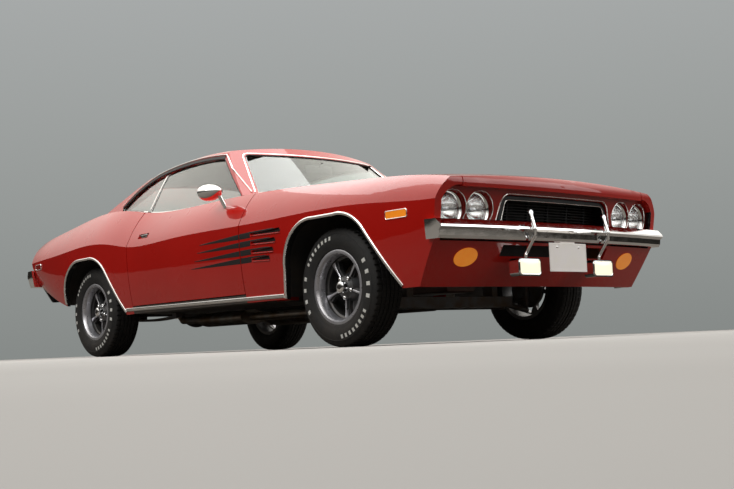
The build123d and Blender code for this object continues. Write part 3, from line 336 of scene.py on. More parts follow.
def faces_wheel(tree, place, facing):
    """Inside a wheel's arch, and on the inner side of a panel below the crease."""
    inner = calc(tree, "LESS_THAN", calc(tree, "MULTIPLY", place["Y"], facing["Y"]), -0.2)
    low = calc(tree, "LESS_THAN", place["Z"], ARCH_TOP)
    picked = calc(tree, "MULTIPLY", inner, calc(tree, "LESS_THAN", place["Z"], INNER_TOP))
    for axle in (FRONT_AXLE, REAR_AXLE):
        looks = calc(tree, "LESS_THAN", towards(tree, place, facing, (axle, None, AXLE_Z)), -0.14)
        ahead = calc(tree, "SUBTRACT", place["X"], axle)
        near = calc(tree, "LESS_THAN", calc(tree, "ABSOLUTE", ahead, 0.0), ARCH_REACH)
        here = calc(tree, "MULTIPLY", looks, calc(tree, "MULTIPLY", near, low))
        picked = calc(tree, "MAXIMUM", picked, here)
    return picked


def dress_nodes():
    M["roof_paint"] = lined(M["paint"], "roof_paint", (0.05, 0.048, 0.045), faces_cabin)
    M["wing_paint"] = lined(M["paint"], "wing_paint", (0.012, 0.012, 0.012), faces_wheel)
    for key, names in NODE_MATERIAL.items():
        for name in names:
            node = nodes[name]
            node.data.materials.clear()
            node.data.materials.append(M[key])


# Shapes

class Skin:
    """The outer surface of some CAD nodes, to lay trim on."""

    def __init__(self, *names):
        verts, faces = [], []
        for name in names:
            mesh = nodes[name].data
            base = len(verts)
            verts += [v.co.copy() for v in mesh.vertices]
            faces += [[base + i for i in p.vertices] for p in mesh.polygons]
        self.tree = BVHTree.FromPolygons(verts, faces)

    def cast(self, start, direction):
        direction = Vector(direction).normalized()
        hit, normal, _, _ = self.tree.ray_cast(Vector(start), direction)
        if hit is None:
            return None
        return hit, (normal if normal.dot(direction) < 0 else -normal)

    def side(self, x, z, sign):
        return self.cast((x, sign * 1.4, z), (0, -sign, 0))

    def top(self, x, y):
        return self.cast((x, y, 1.8), (0, 0, -1))

    def front(self, y, z):
        return self.cast((3.2, y, z), (-1, 0, 0))

    def back(self, y, z):
        return self.cast((-3.2, y, z), (1, 0, 0))

    def path(self, way, points, *more):
        found = [getattr(self, way)(p[0], p[1], *more) for p in points]
        return [f for f in found if f]


def arc(a, m, b, count=12):
    """Points on the circle through three flat points."""
    (ax, ay), (bx, by), (cx, cy) = a, m, b
    d = 2 * (ax * (by - cy) + bx * (cy - ay) + cx * (ay - by))
    aa, bb, cc = ax * ax + ay * ay, bx * bx + by * by, cx * cx + cy * cy
    ux = (aa * (by - cy) + bb * (cy - ay) + cc * (ay - by)) / d
    uy = (aa * (cx - bx) + bb * (ax - cx) + cc * (bx - ax)) / d
    r = hypot(ax - ux, ay - uy)
    t0, t1, t2 = [atan2(q - uy, p - ux) for p, q in (a, m, b)]
    turn = (t2 - t0) % (2 * pi)
    if (t1 - t0) % (2 * pi) > turn:
        turn -= 2 * pi
    return [(ux + r * cos(t0 + turn * i / count), uy + r * sin(t0 + turn * i / count))
            for i in range(count + 1)]


def along(points, step=0.02):
    """Evenly spaced points on straight runs through the given flat points."""
    out = [tuple(points[0])]
    for a, b in zip(points, points[1:]):
        count = max(1, round(hypot(b[0] - a[0], b[1] - a[1]) / step))
        out += [(a[0] + (b[0] - a[0]) * i / count, a[1] + (b[1] - a[1]) * i / count)
                for i in range(1, count + 1)]
    return out


def rounded(points, radius, count=5, closed=False):
    """The flat points with their corners rounded."""
    out = []
    for i, corner in enumerate(points):
        if not closed and i in (0, len(points) - 1):
            out.append(tuple(corner))
            continue
        p, a, b = Vector(corner), Vector(points[i - 1]), Vector(points[(i + 1) % len(points)])
        u, v = (a - p).normalized(), (b - p).normalized()
        half = u.angle(v) / 2
        centre = p + (u + v).normalized() * (radius / sin(half))
        start, end = p + u * (radius / tan(half)) - centre, p + v * (radius / tan(half)) - centre
        out += [tuple(centre + start.lerp(end, k / count).normalized() * radius) for k in range(count + 1)]
    return out


def grown(points, by, centre):
    """The flat points moved by this much away from centre, square to their own line."""
    out = []
    for i, p in enumerate(points):
        a, b = points[max(0, i - 1)], points[min(len(points) - 1, i + 1)]
        n = Vector((b[1] - a[1], a[0] - b[0])).normalized()
        if n.dot(Vector(p) - Vector(centre)) < 0:
            n = -n
        out.append((p[0] + n.x * by, p[1] + n.y * by))
    return out


def oblong(x0, x1, z0, z1, radius, count):
    """A closed outline with rounded corners."""
    return rounded([(x0, z0), (x1, z0), (x1, z1), (x0, z1)], radius, count, closed=True)


def upright(line, x, facing=1):
    """A path on a plane across the car, from its (y, z) points."""
    return [(Vector((x, y, z)), Vector((facing, 0, 0))) for y, z in line]


def half_round(width, height, sink=0.001, count=6):
    ring = [(-cos(pi * i / count) * width / 2, sin(pi * i / count) * height) for i in range(count + 1)]
    return [(-width / 2, -sink)] + ring + [(width / 2, -sink)]


def flat_bar(width, height, sink=0.0005):
    w = width / 2
    return [(-w, -sink), (-w, height * 0.6), (-w * 0.86, height), (w * 0.86, height), (w, height * 0.6),
            (w, -sink)]


def circle(radius, count):
    return [(radius * cos(2 * pi * i / count), radius * sin(2 * pi * i / count)) for i in range(count)]


def ring_faces(count, ring, closed=False):
    """The faces between neighbouring rings, with caps where the run of rings is open."""
    faces = []
    for i in range(count if closed else count - 1):
        j = (i + 1) % count
        faces += [(i * ring + k, j * ring + k, j * ring + (k + 1) % ring, i * ring + (k + 1) % ring)
                  for k in range(ring)]
    if not closed:
        faces += [tuple(range(ring))[::-1], tuple(range((count - 1) * ring, count * ring))]
    return faces


def shell(rings, open_start=False):
    """The points and faces of a form through rings of equal length."""
    count = len(rings[0])
    verts = [v for ring in rings for v in ring]
    faces = [(a * count + i, a * count + (i + 1) % count, (a + 1) * count + (i + 1) % count,
              (a + 1) * count + i)
             for a in range(len(rings) - 1) for i in range(count)]
    if not open_start:
        faces.append(tuple(range(count))[::-1])
    return verts, faces + [tuple(range((len(rings) - 1) * count, len(rings) * count))]


def sheet_faces(cols, rows):
    """The faces of two layers of cols by rows points, joined round their rim."""
    at = lambda u, v, layer=0: (layer * cols + u) * rows + v
    faces = [(at(u, v), at(u + 1, v), at(u + 1, v + 1), at(u, v + 1)) for u in range(cols - 1)
             for v in range(rows - 1)]
    faces += [tuple(k + cols * rows for k in f[::-1]) for f in faces]
    rim = [(u, 0) for u in range(cols)] + [(cols - 1, v) for v in range(1, rows)]
    rim += [(u, rows - 1) for u in range(cols - 2, -1, -1)] + [(0, v) for v in range(rows - 2, 0, -1)]
    return faces + [(at(*p), at(*q), at(*q, 1), at(*p, 1)) for p, q in zip(rim, rim[1:] + rim[:1])]


class Piece:
    """Several shapes that become one object."""

    def __init__(self):
        self.verts, self.faces = [], []

    def add(self, verts, faces):
        base = len(self.verts)
        self.verts += [Vector(v) for v in verts]
        self.faces += [[base + i for i in f] for f in faces]
        return self

    def sweep(self, path, profile, closed=False, scale=None):
        """The profile's (across, out) points carried along (point, normal) pairs."""
        if len(path) < 2:
            return self
        count, ring, verts = len(path), len(profile), []
        for i, (p, normal) in enumerate(path):
            a = path[i - 1][0] if closed or i else p
            b = path[(i + 1) % count][0] if closed or i < count - 1 else p
            t = (b - a).normalized()
            across = t.cross(normal).normalized()
            up = across.cross(t)
            k = scale(i / (count - 1)) if scale else 1.0
            verts += [p + across * (s * k) + up * h for s, h in profile]
        return self.add(verts, ring_faces(count, ring, closed))

    def lathe(self, profile, centre, axis, segments=40, loop=False):
        """A profile of (radius, along) points turned about axis. Radius 0 at an end closes it."""
        axis = Vector(axis).normalized()
        u = axis.orthogonal().normalized()
        v = axis.cross(u)
        centre = Vector(centre)
        verts, rings = [], []
        for r, h in profile:
            if r < 1e-6:
                rings.append([len(verts)])
                verts.append(centre + axis * h)
            else:
                rings.append(list(range(len(verts), len(verts) + segments)))
                turns = [2 * pi * i / segments for i in range(segments)]
                verts += [centre + axis * h + (u * cos(a) + v * sin(a)) * r for a in turns]
        faces = []
        pairs = list(zip(rings, rings[1:])) + ([(rings[-1], rings[0])] if loop else [])
        for low, high in pairs:
            for i in range(segments):
                j = (i + 1) % segments
                if len(low) == 1:
                    faces.append((low[0], high[i], high[j]))
                elif len(high) == 1:
                    faces.append((low[i], high[0], low[j]))
                else:
                    faces.append((low[i], high[i], high[j], low[j]))
        return self.add(verts, faces)

    def rod(self, points, radius, sides=10):
        """A round rod through the points."""
        points = [Vector(p) for p in points]
        normal = (points[1] - points[0]).orthogonal().normalized()
        return self.sweep([(p, normal) for p in points], circle(radius, sides))

    def block(self, low, high, bevel=0.004, turn=None, at=(0, 0, 0)):
        """A block between two corners with rounded edges, optionally turned and moved."""
        b = bmesh.new()
        bmesh.ops.create_cube(b, size=1)
        low, high = Vector(low), Vector(high)
        for v in b.verts:
            v.co = Vector([(l + h) / 2 + c * (h - l) for l, h, c in zip(low, high, v.co)])
        bmesh.ops.bevel(b, geom=b.edges[:], offset=bevel, segments=2, profile=0.6, affect="EDGES")
        place = Matrix.Translation(at) @ (turn or Matrix.Identity(3)).to_4x4()
        b.verts.index_update()
        self.add([place @ v.co for v in b.verts], [[v.index for v in f.verts] for f in b.faces])
        b.free()
        return self

    def plate(self, points, normal_of, thickness):
        """A thin flat plate: 3-D outline points, thickened along a direction."""
        d = Vector(normal_of).normalized() * thickness
        n = len(points)
        verts = [Vector(p) for p in points] + [Vector(p) + d for p in points]
        faces = [tuple(range(n))[::-1], tuple(range(n, 2 * n))]
        faces += [(i, (i + 1) % n, n + (i + 1) % n, n + i) for i in range(n)]
        return self.add(verts, faces)

    def make(self, name, key, body="car", slot=None, angle=32, bevel=0.0):
        mesh = bpy.data.meshes.new(name)
        mesh.from_pydata([tuple(v) for v in self.verts], [], self.faces)
        b = bmesh.new()
        b.from_mesh(mesh)
        bmesh.ops.recalc_face_normals(b, faces=b.faces[:])
        b.to_mesh(mesh)
        b.free()
        mesh.materials.append(M[key])
        mesh.shade_smooth()
        mesh.set_sharp_from_angle(angle=radians(angle))
        piece = bpy.data.objects.new(name, mesh)
        bpy.context.scene.collection.objects.link(piece)
        if bevel:
            soft = piece.modifiers.new("soft_edges", "BEVEL")
            soft.width, soft.segments, soft.limit_method = bevel, 2, "ANGLE"
        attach(piece, body)
        return piece


SIDE = Skin("front_fenders", "door_left", "door_right", "quarter_panels", "floor_pan")
ROOF = Skin("roof")
GLASS = Skin("windows", "door_glass_left", "door_glass_right")
HEADER = Skin("header_panel")
GRILLE = Skin("grille")
TAIL = Skin("tail_panel")
TOP = Skin("hood", "cowl", "decklid", "rear_shelf", "quarter_panels", "front_fenders", "door_left",
           "door_right")

#  outlines of the wheel arches, from the rear foot to the front one: x from the axle, and z
FRONT_ARCH = (along([(-0.3945, 0.29), (-0.362, 0.448)]) +
              arc((-0.362, 0.448), (-0.272, 0.646), (-0.08, 0.705)) + [(0.0, 0.705), (0.09, 0.705)] +
              arc((0.09, 0.705), (0.218, 0.685), (0.305, 0.62)) +
              along([(0.305, 0.62), (0.48, 0.388), (0.552, 0.293)]))
REAR_ARCH = (along([(-0.352, 0.405), (-0.352, 0.43)]) +
             arc((-0.352, 0.43), (-0.232, 0.632), (-0.03, 0.698)) + [(0.03, 0.698), (0.09, 0.698)] +
             arc((0.09, 0.698), (0.225, 0.675), (0.315, 0.606)) +
             along([(0.315, 0.606), (0.47, 0.388), (0.548, 0.292)]))


def clean(points, least=0.003):
    """The flat points without near doubles."""
    out = [points[0]]
    for p in points[1:]:
        if hypot(p[0] - out[-1][0], p[1] - out[-1][1]) > least:
            out.append(p)
    return out


# Bright mouldings of the body side

def wheel_lips():
    for end, outline, axle in (("front", FRONT_ARCH, FRONT_AXLE), ("rear", REAR_ARCH, REAR_AXLE)):
        line = [(x + axle, z) for x, z in grown(clean(outline), 0.0095, (0, AXLE_Z))]
        for side, sign in SIDES:
            path = SIDE.path("side", line, sign)
            Piece().sweep(path, half_round(0.019, 0.007, 0.002)).make(f"wheel_lip_{end}_{side}", "bright")


def sill_mouldings():
    line = along([(-0.79, 0.316), (1.07, 0.306)], 0.03)
    for side, sign in SIDES:
        path = SIDE.path("side", line, sign)
        Piece().sweep(path, half_round(0.026, 0.008, 0.002)).make(f"sill_moulding_{side}", "bright")


WINDOW_TOP = (along([(0.482, 0.962), (0.112, 1.258)], 0.03) +
              arc((0.112, 1.258), (-0.25, 1.284), (-0.64, 1.266)) +
              arc((-0.64, 1.266), (-0.905, 1.2), (-1.128, 1.072), 16))


def window_mouldings():
    for side, sign in SIDES:
        rail = grown(clean(WINDOW_TOP), 0.03, (-0.3, 1.0))
        drip = Piece().sweep(ROOF.path("side", rail, sign), half_round(0.01, 0.008, 0.002))
        drip.make(f"drip_rail_{side}", "bright")
        seal_and_shade = Piece().sweep(ROOF.path("side", grown(clean(WINDOW_TOP), 0.003, (-0.3, 1.0)), sign),
                             half_round(0.006, 0.003, 0.004))
        # the wide black band on the roof above the front of the window is partly the weatherstrip, partly
        # painted shadow under the drip rail
        seal_band_and_shade = grown([p for p in clean(WINDOW_TOP) if p[0] < 0.13], 0.0135, (-0.3, 1.0))
        seal_and_shade.sweep(ROOF.path("side", seal_band_and_shade, sign), flat_bar(0.023, 0.003, 0.002))
        seal_and_shade.make(f"window_seal_and_shade_band_{side}", "rubber")
        belts = (("door", along([(0.462, 0), (-0.648, 0)], 0.03), f"{side}_door"),
                 ("quarter", along([(-0.664, 0), (-1.118, 0)], 0.03), "car"))
        for part, line, body in belts:
            path = []
            for x, _ in line:
                glass = GLASS.side(x, 1.005, sign)
                spot = glass and TOP.top(x, glass[0].y + sign * 0.02)
                if spot:
                    path.append(spot)
            belt = Piece().sweep(path, half_round(0.011, 0.006, 0.002))
            belt.make(f"belt_moulding_{part}_{side}", "bright", body)
        seam = [(-0.672 + 0.036 * t / 10, 0.985 + 0.272 * t / 10) for t in range(11)]
        joint = Piece().sweep(GLASS.path("side", seam, sign), flat_bar(0.013, 0.004))
        joint.make(f"window_seam_{side}", "bright")


def screen_mouldings():
    frame_line = rounded([(-0.699, 0.962), (-0.548, 1.296), (0.548, 1.296), (0.699, 0.962)], 0.055)
    path = ROOF.path("front", along(clean(frame_line), 0.03))
    Piece().sweep(path, half_round(0.01, 0.004, 0.002)).make("windscreen_moulding", "bright")
    back_line = rounded([(-1.56, -0.606), (-0.976, -0.513), (-0.976, 0.513), (-1.56, 0.606)], 0.065)
    path = ROOF.path("top", along(clean(back_line), 0.03))
    Piece().sweep(path, half_round(0.014, 0.005, 0.002)).make("backlight_moulding", "bright")


# Front end

TUNNEL_RADIUS = 0.089
LAMPS = [(sign * y, 0.674) for y in (0.762, 0.582) for sign in (1, -1)]
FOG_X, FOG_Y, FOG_Z = 2.388, 0.304, 0.374
#  the plates' faces, the rear plate's bolts, and the height of each plate's middle
FRONT_PLATE_X, REAR_PLATE_X, REAR_BOLT_X = 2.3965, -2.3322, -2.3335
FRONT_PLATE_Z, REAR_PLATE_Z, PLATE_THICK = 0.428, 0.505, 0.0015


def lamp_x(y):
    """Where a lamp's ring stands, as in the CAD."""
    return -4.6 + (49 - y * y) ** 0.5 - 0.084


def lamp_trim():
    rings, bezels, lenses, bowls = Piece(), Piece(), Piece(), Piece()
    for y, z in LAMPS:
        tunnel = [(y + p, z + q) for p, q in circle(TUNNEL_RADIUS + 0.0013, 64)]
        rings.sweep(HEADER.path("front", tunnel), half_round(0.0045, 0.0035, 0.001), closed=True)
        at = (lamp_x(y), y, z)
        bezels.lathe([(0.0885, -0.006), (0.0885, 0.004), (0.084, 0.007), (0.078, 0.004), (0.0735, -0.002),
                      (0.0735, -0.006)], at, (1, 0, 0), 48, loop=True)
        dome = [(0.0735 * sin(t * pi / 16), 0.013 * cos(t * pi / 16) - 0.002) for t in range(8)]
        lenses.lathe([(0.0, 0.0125)] + dome[1:] + [(0.0735, -0.003), (0.0705, -0.003)] +
                     [(r * 0.955, h - 0.0035) for r, h in dome[:0:-1]] + [(0.0, 0.009)], at, (1, 0, 0), 48)
        bowls.lathe([(0.0, -0.052), (0.018, -0.05), (0.04, -0.04), (0.06, -0.022), (0.072, -0.005),
                     (0.075, -0.005), (0.0755, -0.012), (0.062, -0.027), (0.04, -0.045), (0.018, -0.055),
                     (0.0, -0.057)], at, (1, 0, 0), 48)
        bowls.lathe([(0.0, -0.02), (0.01, -0.022), (0.013, -0.03), (0.011, -0.046), (0.0, -0.048)], at,
                    (1, 0, 0), 20)
    rings.make("lamp_rings", "bright")
    bezels.make("lamp_bezels", "chrome")
    bowls.make("lamp_bowls", "mirror_face")
    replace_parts(lenses.make("lamp_lenses", "lens"), "headlamps")


def grille_line(grow):
    """The grille's outline as (y, z), moved outward by grow."""
    top, bottom, z0, z1 = 0.424 + grow, 0.482 + grow, 0.572, 0.752 + grow
    return rounded([(-bottom + 0.005, z0), (-top, z1), (top, z1), (bottom - 0.005, z0)], 0.06 + grow, 8)


def grille_trim():
    trim = Piece()
    for skin, grow, width in ((HEADER, 0.005, 0.007), (GRILLE, -0.0032, 0.005)):
        trim.sweep(skin.path("front", along(clean(grille_line(grow)), 0.02)),
                   half_round(width, 0.005, 0.001))
    ahead = Vector((1, 0, 0))
    surround = [(Vector((lamp_x(y) + 0.018, y, z)), ahead)
                for y, z in along(clean(grille_line(-0.0145)), 0.02)]
    Piece().sweep(surround, flat_bar(0.025, 0.003, 0.003)).make("grille_surround", "grille_black")
    inner = [(Vector((lamp_x(y) + 0.021, y, z)), ahead)
             for y, z in along(clean(grille_line(-0.0245)), 0.02)]
    trim.sweep(inner, half_round(0.005, 0.004, 0.001))
    trim.make("grille_trim", "bright")


def fog_lamp_faces():
    x, z = FOG_X, FOG_Z
    glow, rims = Piece(), Piece()
    for y in (FOG_Y, -FOG_Y):
        line = oblong(y - 0.08, y + 0.08, z - 0.038, z + 0.038, 0.016, 6)
        rings = [[Vector((x + out, y + (p - y) * k, z + (q - z) * k)) for p, q in line]
                 for out, k in ((-0.001, 1.0), (0.0035, 0.99), (0.006, 0.9), (0.008, 0.6), (0.0085, 0.2))]
        glow.add(*shell(rings, open_start=True))
        rims.sweep(upright(line, x), half_round(0.007, 0.006, 0.001), True)
    glow.make("fog_lamp_lenses", "fog_glow", angle=50)
    rims.make("fog_lamp_rims", "chrome")


def number_plates():
    for name, x, z, facing in (("front_plate_rim", FRONT_PLATE_X, FRONT_PLATE_Z, 1),
                               ("rear_number_plate", REAR_PLATE_X, REAR_PLATE_Z, -1)):
        line = oblong(-0.1505, 0.1505, z - 0.0745, z + 0.0745, 0.01, 4)
        piece = Piece()
        if facing < 0:
            piece.plate([(x, p, q) for p, q in line], (facing, 0, 0), PLATE_THICK)
            x -= PLATE_THICK
        rim = [(p * 0.97, z + (q - z) * 0.95) for p, q in line]
        piece.sweep(upright(rim, x, facing), half_round(0.004, 0.0015, 0.0004), True)
        piece.make(name, "plate")
    bolts = Piece()
    for y in (-0.089, 0.089):
        bolts.lathe([(0, 0.004), (0.005, 0.0035), (0.007, 0.0)], (FRONT_PLATE_X, y, FRONT_PLATE_Z + 0.055),
                    (1, 0, 0), 12)
        bolts.lathe([(0, 0.0085), (0.005, 0.008), (0.007, 0.0)], (REAR_BOLT_X, y, REAR_PLATE_Z),
                    (-1, 0, 0), 12)
    bolts.make("plate_bolts", "bright")


# Side details

#  the vents' front ends and the stripes' rear ends: front x, front z, rear x, rear z
VENTS = [(1.106, 0.682, 0.262, 0.664), (1.057, 0.631, 0.232, 0.617), (1.031, 0.579, 0.192, 0.567),
         (0.99, 0.533, 0.15, 0.523)]
VENT_REAR, DOOR_FRONT = 0.812, 0.693


def tape_stripes():
    """Black stripes that run back from the vents over the door, and a thin one over each vent."""
    for side, sign in SIDES:
        front, rear = Piece(), Piece()
        for x0, z0, x1, z1 in VENTS:
            at = lambda x: z0 + (z1 - z0) * (x0 - x) / (x0 - x1)
            width = lambda x: 0.034 * max(0.08, min(1, 0.12 + (x - x1) / (0.78 - x1)))
            for piece, a, b in ((front, VENT_REAR - 0.006, DOOR_FRONT + 0.004),
                                (rear, DOOR_FRONT - 0.004, x1)):
                line = [(x, at(x) + 0.004) for x in [a + (b - a) * t / 16 for t in range(17)]]
                piece.sweep(SIDE.path("side", line, sign), flat_bar(1.0, 0.0007, 0.0006),
                            scale=lambda t: width(a + (b - a) * t))
            over = [x0 - 0.014 + (VENT_REAR - 0.01 - x0) * t / 12 for t in range(13)]
            line = [(x, at(x) + 0.0125 + 0.0045 * t / 12) for t, x in enumerate(over)]
            front.sweep(SIDE.path("side", line, sign), flat_bar(0.009, 0.0007, 0.0006),
                        scale=lambda t: max(0.15, min(1.0, t * 4)))
        front.make(f"fender_stripes_{side}", "tape")
        rear.make(f"door_stripes_{side}", "tape", f"{side}_door")


def vent_lips():
    """A dark floor in each vent of the fender, and a lip along its lower edge."""
    for side, sign in SIDES:
        floors, lips = Piece(), Piece()
        for x0, z0, _, _ in VENTS:
            steps = [VENT_REAR + 0.006 + (x0 - 0.01 - VENT_REAR) * t / 12 for t in range(13)]
            half = lambda x: 0.004 + 0.007 * (x - VENT_REAR) / (x0 - VENT_REAR)
            path = [SIDE.side(x, z0 + 0.001, sign) for x in steps]
            floors.sweep(path, flat_bar(1.0, 0.0012, 0.0005),
                         scale=lambda t: 2 * half(VENT_REAR + (x0 - VENT_REAR) * t))
            line = [(x, z0 - half(x) - 0.006) for x in steps]
            lips.sweep(SIDE.path("side", line, sign), half_round(0.009, 0.0065, 0.001),
                       scale=lambda t: min(1.0, 0.3 + 2.5 * t, 0.2 + 8 * (1 - t)))
        floors.make(f"vent_floors_{side}", "tape")
        lips.make(f"vent_lips_{side}", "paint")


def door_handles():
    for side, sign in SIDES:
        x, z = -0.477, 0.802
        y = SIDE.side(x, z, sign)[0].y + sign * 0.008
        outer = SIDE.side(x + 0.1, z, sign)[0].y
        piece = Piece()
        piece.block((-0.046, -0.004, -0.01), (0.046, 0.004, 0.01), 0.003, at=(x, outer - sign * 0.006, z))
        piece.block((-0.01, -0.008, -0.006), (0.01, 0.008, 0.006), 0.002, at=(x - 0.02, y, z))
        piece.lathe([(0, 0.003), (0.009, 0.0025), (0.011, 0.0), (0.011, -0.003)],
                    (x - 0.005, outer + sign * 0.001, 0.755), (0, sign, 0), 20)
        piece.make(f"door_handle_{side}", "chrome", f"{side}_door")


def mirror_faces():
    for side, sign in SIDES:
        x, y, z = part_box(f"mirror_{side}")[0].x - 0.0015, sign * 0.95, 0.985
        outline = [(x, y + 0.064 * cos(2 * pi * i / 40), z + 0.043 * sin(2 * pi * i / 40))
                   for i in range(40)]
        Piece().plate(outline, (1, 0, 0), 0.002).make(f"mirror_face_{side}", "mirror_face", f"{side}_door")


def marker_bezels():
    bezels = Piece()
    for sign in (1, -1):
        for x0, x1, z0, z1 in ((1.985, 2.135, 0.64, 0.68), (-2.18, -2.06, 0.7, 0.738)):
            line = oblong(x0, x1, z0, z1, 0.008, 3)
            line = along(line + [line[0]], 0.02)[:-1]
            bezels.sweep(SIDE.path("side", clean(line), sign), half_round(0.007, 0.006, 0.001), closed=True)
    bezels.make("marker_bezels", "bright")


# Wheels

SPOKE_ANGLES = [radians(-90 + 72 * k) for k in range(5)]
GROOVE_RADIUS, RIB_CUT, EDGE_CUT = 0.32, 0.0022, 0.0055
PITCHES, PITCH_STEPS = 58, (0.0, 0.62, 0.66, 0.96)
BLOCK_RADIUS, BLOCK_DEPTH = 0.2715, 0.0006
BOLT_CIRCLE = 0.05715


def wheel_frames():
    for end, x in (("front", FRONT_AXLE), ("rear", REAR_AXLE)):
        for side, sign in SIDES:
            yield f"{end}_{side}", Vector((x, sign * WHEEL_Y[end], AXLE_Z)), sign


def tyre_profile():
    """Half of the tyre's section from the bead out to the middle of the tread, as (radius, out, part)."""
    wall = [(0.2046, 0.0868), (0.206, 0.0945), (0.21, 0.099), (0.215, 0.1015), (0.219, 0.102)]
    wall += [(0.23, 0.1062), (0.242, 0.109), (0.255, 0.1103), (0.27, 0.1098), (0.285, 0.107)]
    wall += [(0.29, 0.1056), (0.2915, 0.1064), (0.2935, 0.1058), (0.295, 0.104), (0.305, 0.099)]
    wall += [(0.314, 0.0935), (0.32, 0.0885)]
    points = [(r, y, "wall") for r, y in wall]
    points += [(0.3245, 0.0845, "edge"), (0.3262, 0.08, "edge"), (0.3268, 0.06, "edge")]
    low = GROOVE_RADIUS
    points += [(low, 0.0585, "groove"), (low, 0.0545, "groove"), (0.3276, 0.053, "rib"),
               (0.3278, 0.031, "rib"), (low, 0.0295, "groove"), (low, 0.0255, "groove"),
               (0.328, 0.024, "rib"), (0.328, 0.006, "rib"), (low, 0.0045, "groove")]
    return points


def tyre(name, centre, sign):
    half = tyre_profile()
    section = half + [(r, -y, part) for r, y, part in half[::-1]]
    verts = []
    for pitch in range(PITCHES):
        for k, share in enumerate(PITCH_STEPS):
            a = 2 * pi * (pitch + share) / PITCHES
            for r, y, part in section:
                cut = {"edge": EDGE_CUT, "rib": RIB_CUT}.get(part, 0.0) if k >= 2 else 0.0
                lead = 0.012 * abs(y) / 0.08 if part == "rib" else 0.0
                angle = a + lead
                verts.append(centre + Vector(((r - cut) * cos(angle), sign * y, (r - cut) * sin(angle))))
    faces = ring_faces(PITCHES * len(PITCH_STEPS), len(section), closed=True)
    piece = Piece().add(verts, faces).make(f"tread_{name}", "tyre", f"{name}_wheel", angle=28)
    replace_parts(piece, f"tyre_{name}")


def sidewall_blocks(name, centre, sign):
    """Plain white blocks in arcs on the outer sidewall."""
    piece = Piece()
    #  first block's angle, last block's, how many, width and height of each
    arcs = [(98, 149, 8, 0.016, 0.021), (167, 208, 4, 0.021, 0.025), (278, 329, 8, 0.016, 0.021),
            (347, 388, 4, 0.021, 0.025)]
    cols, rows = 5, 4
    for start, end, count, wide, tall in arcs:
        for i in range(count):
            middle = radians(start + (end - start) * i / (count - 1))
            if sign > 0:
                middle = pi - middle
            a0, a1 = middle - wide / 2 / BLOCK_RADIUS, middle + wide / 2 / BLOCK_RADIUS
            verts = []
            for layer in (BLOCK_DEPTH, -3 * BLOCK_DEPTH):
                for u in range(cols):
                    for v in range(rows):
                        a = a0 + (a1 - a0) * u / (cols - 1)
                        r = BLOCK_RADIUS - tall / 2 + tall * v / (rows - 1)
                        rim = u in (0, cols - 1) or v in (0, rows - 1)
                        inset = BLOCK_DEPTH / 2 if layer > 0 and rim else 0
                        y = wall_at(r) + layer - inset
                        verts.append(centre + Vector((r * cos(a), sign * y, r * sin(a))))
            piece.add(verts, sheet_faces(cols, rows))
    piece.make(f"sidewall_blocks_{name}", "tyre_white", f"{name}_wheel")


def wall_at(radius):
    wall = [(r, y) for r, y, part in tyre_profile() if part == "wall"]
    for (r0, y0), (r1, y1) in zip(wall, wall[1:]):
        if r0 <= radius <= r1:
            return y0 + (y1 - y0) * (radius - r0) / (r1 - r0)
    return wall[-1][1]


def wheel_trim(name, centre, sign):
    out = (0, sign, 0)
    ring = Piece().lathe([(0.205, 0.0935), (0.205, 0.0962), (0.2, 0.0978), (0.189, 0.0965), (0.1835, 0.09),
                          (0.1775, 0.072), (0.1735, 0.044), (0.1715, 0.044), (0.1755, 0.072),
                          (0.1815, 0.09), (0.186, 0.0945)], centre, out, 72, loop=True)
    ring.make(f"trim_ring_{name}", "argent", f"{name}_wheel")
    ribs = Piece()
    for a in SPOKE_ANGLES:
        radial, across = Vector((cos(a), 0, sin(a))), Vector((-sin(a), 0, cos(a)))
        up = Vector(out)
        #  radius, half width, height
        rows = [(0.066, 0.0052, 0.042), (0.11, 0.0062, 0.0408), (0.14, 0.0086, 0.0408),
                (0.166, 0.015, 0.04)]
        verts = []
        for r, w, h in rows:
            base = centre + radial * r
            verts += [base + across * s * w + up * y for s, y in
                      ((-1.06, h - 0.01), (-1.0, h - 0.0015), (-0.5, h + 0.0006), (0.5, h + 0.0006),
                       (1.0, h - 0.0015), (1.06, h - 0.01))]
        ribs.add(verts, ring_faces(len(rows), 6))
    ribs.make(f"spoke_ribs_{name}", "argent", f"{name}_wheel")
    nuts = Piece()
    nuts.lathe([(0.0352, 0.04), (0.035, 0.052), (0.033, 0.07), (0.0312, 0.079), (0.027, 0.0822),
                (0.012, 0.0832), (0.0, 0.0834)], centre, out, 40)
    for i in range(5):
        a = radians(126 + 72 * i)
        spot = centre + Vector((BOLT_CIRCLE * cos(a), 0, BOLT_CIRCLE * sin(a)))
        nuts.lathe([(0.013, 0.03), (0.013, 0.047), (0.0105, 0.052), (0.006, 0.0545), (0.0, 0.055)],
                   spot, out, 6)
    nuts.make(f"wheel_nuts_{name}", "chrome", f"{name}_wheel", angle=40)
    stem = centre + Vector((0.158 * cos(radians(18)), sign * 0.036, 0.158 * sin(radians(18))))
    valve = Piece().lathe([(0.0045, -0.01), (0.0045, 0.018), (0.0035, 0.02), (0.0035, 0.03), (0.0, 0.031)],
                          stem, out, 12)
    valve.make(f"valve_stem_{name}", "rubber", f"{name}_wheel")


def wheels():
    for name, centre, sign in wheel_frames():
        tyre(name, centre, sign)
        sidewall_blocks(name, centre, sign)
        wheel_trim(name, centre, sign)


# Rear end

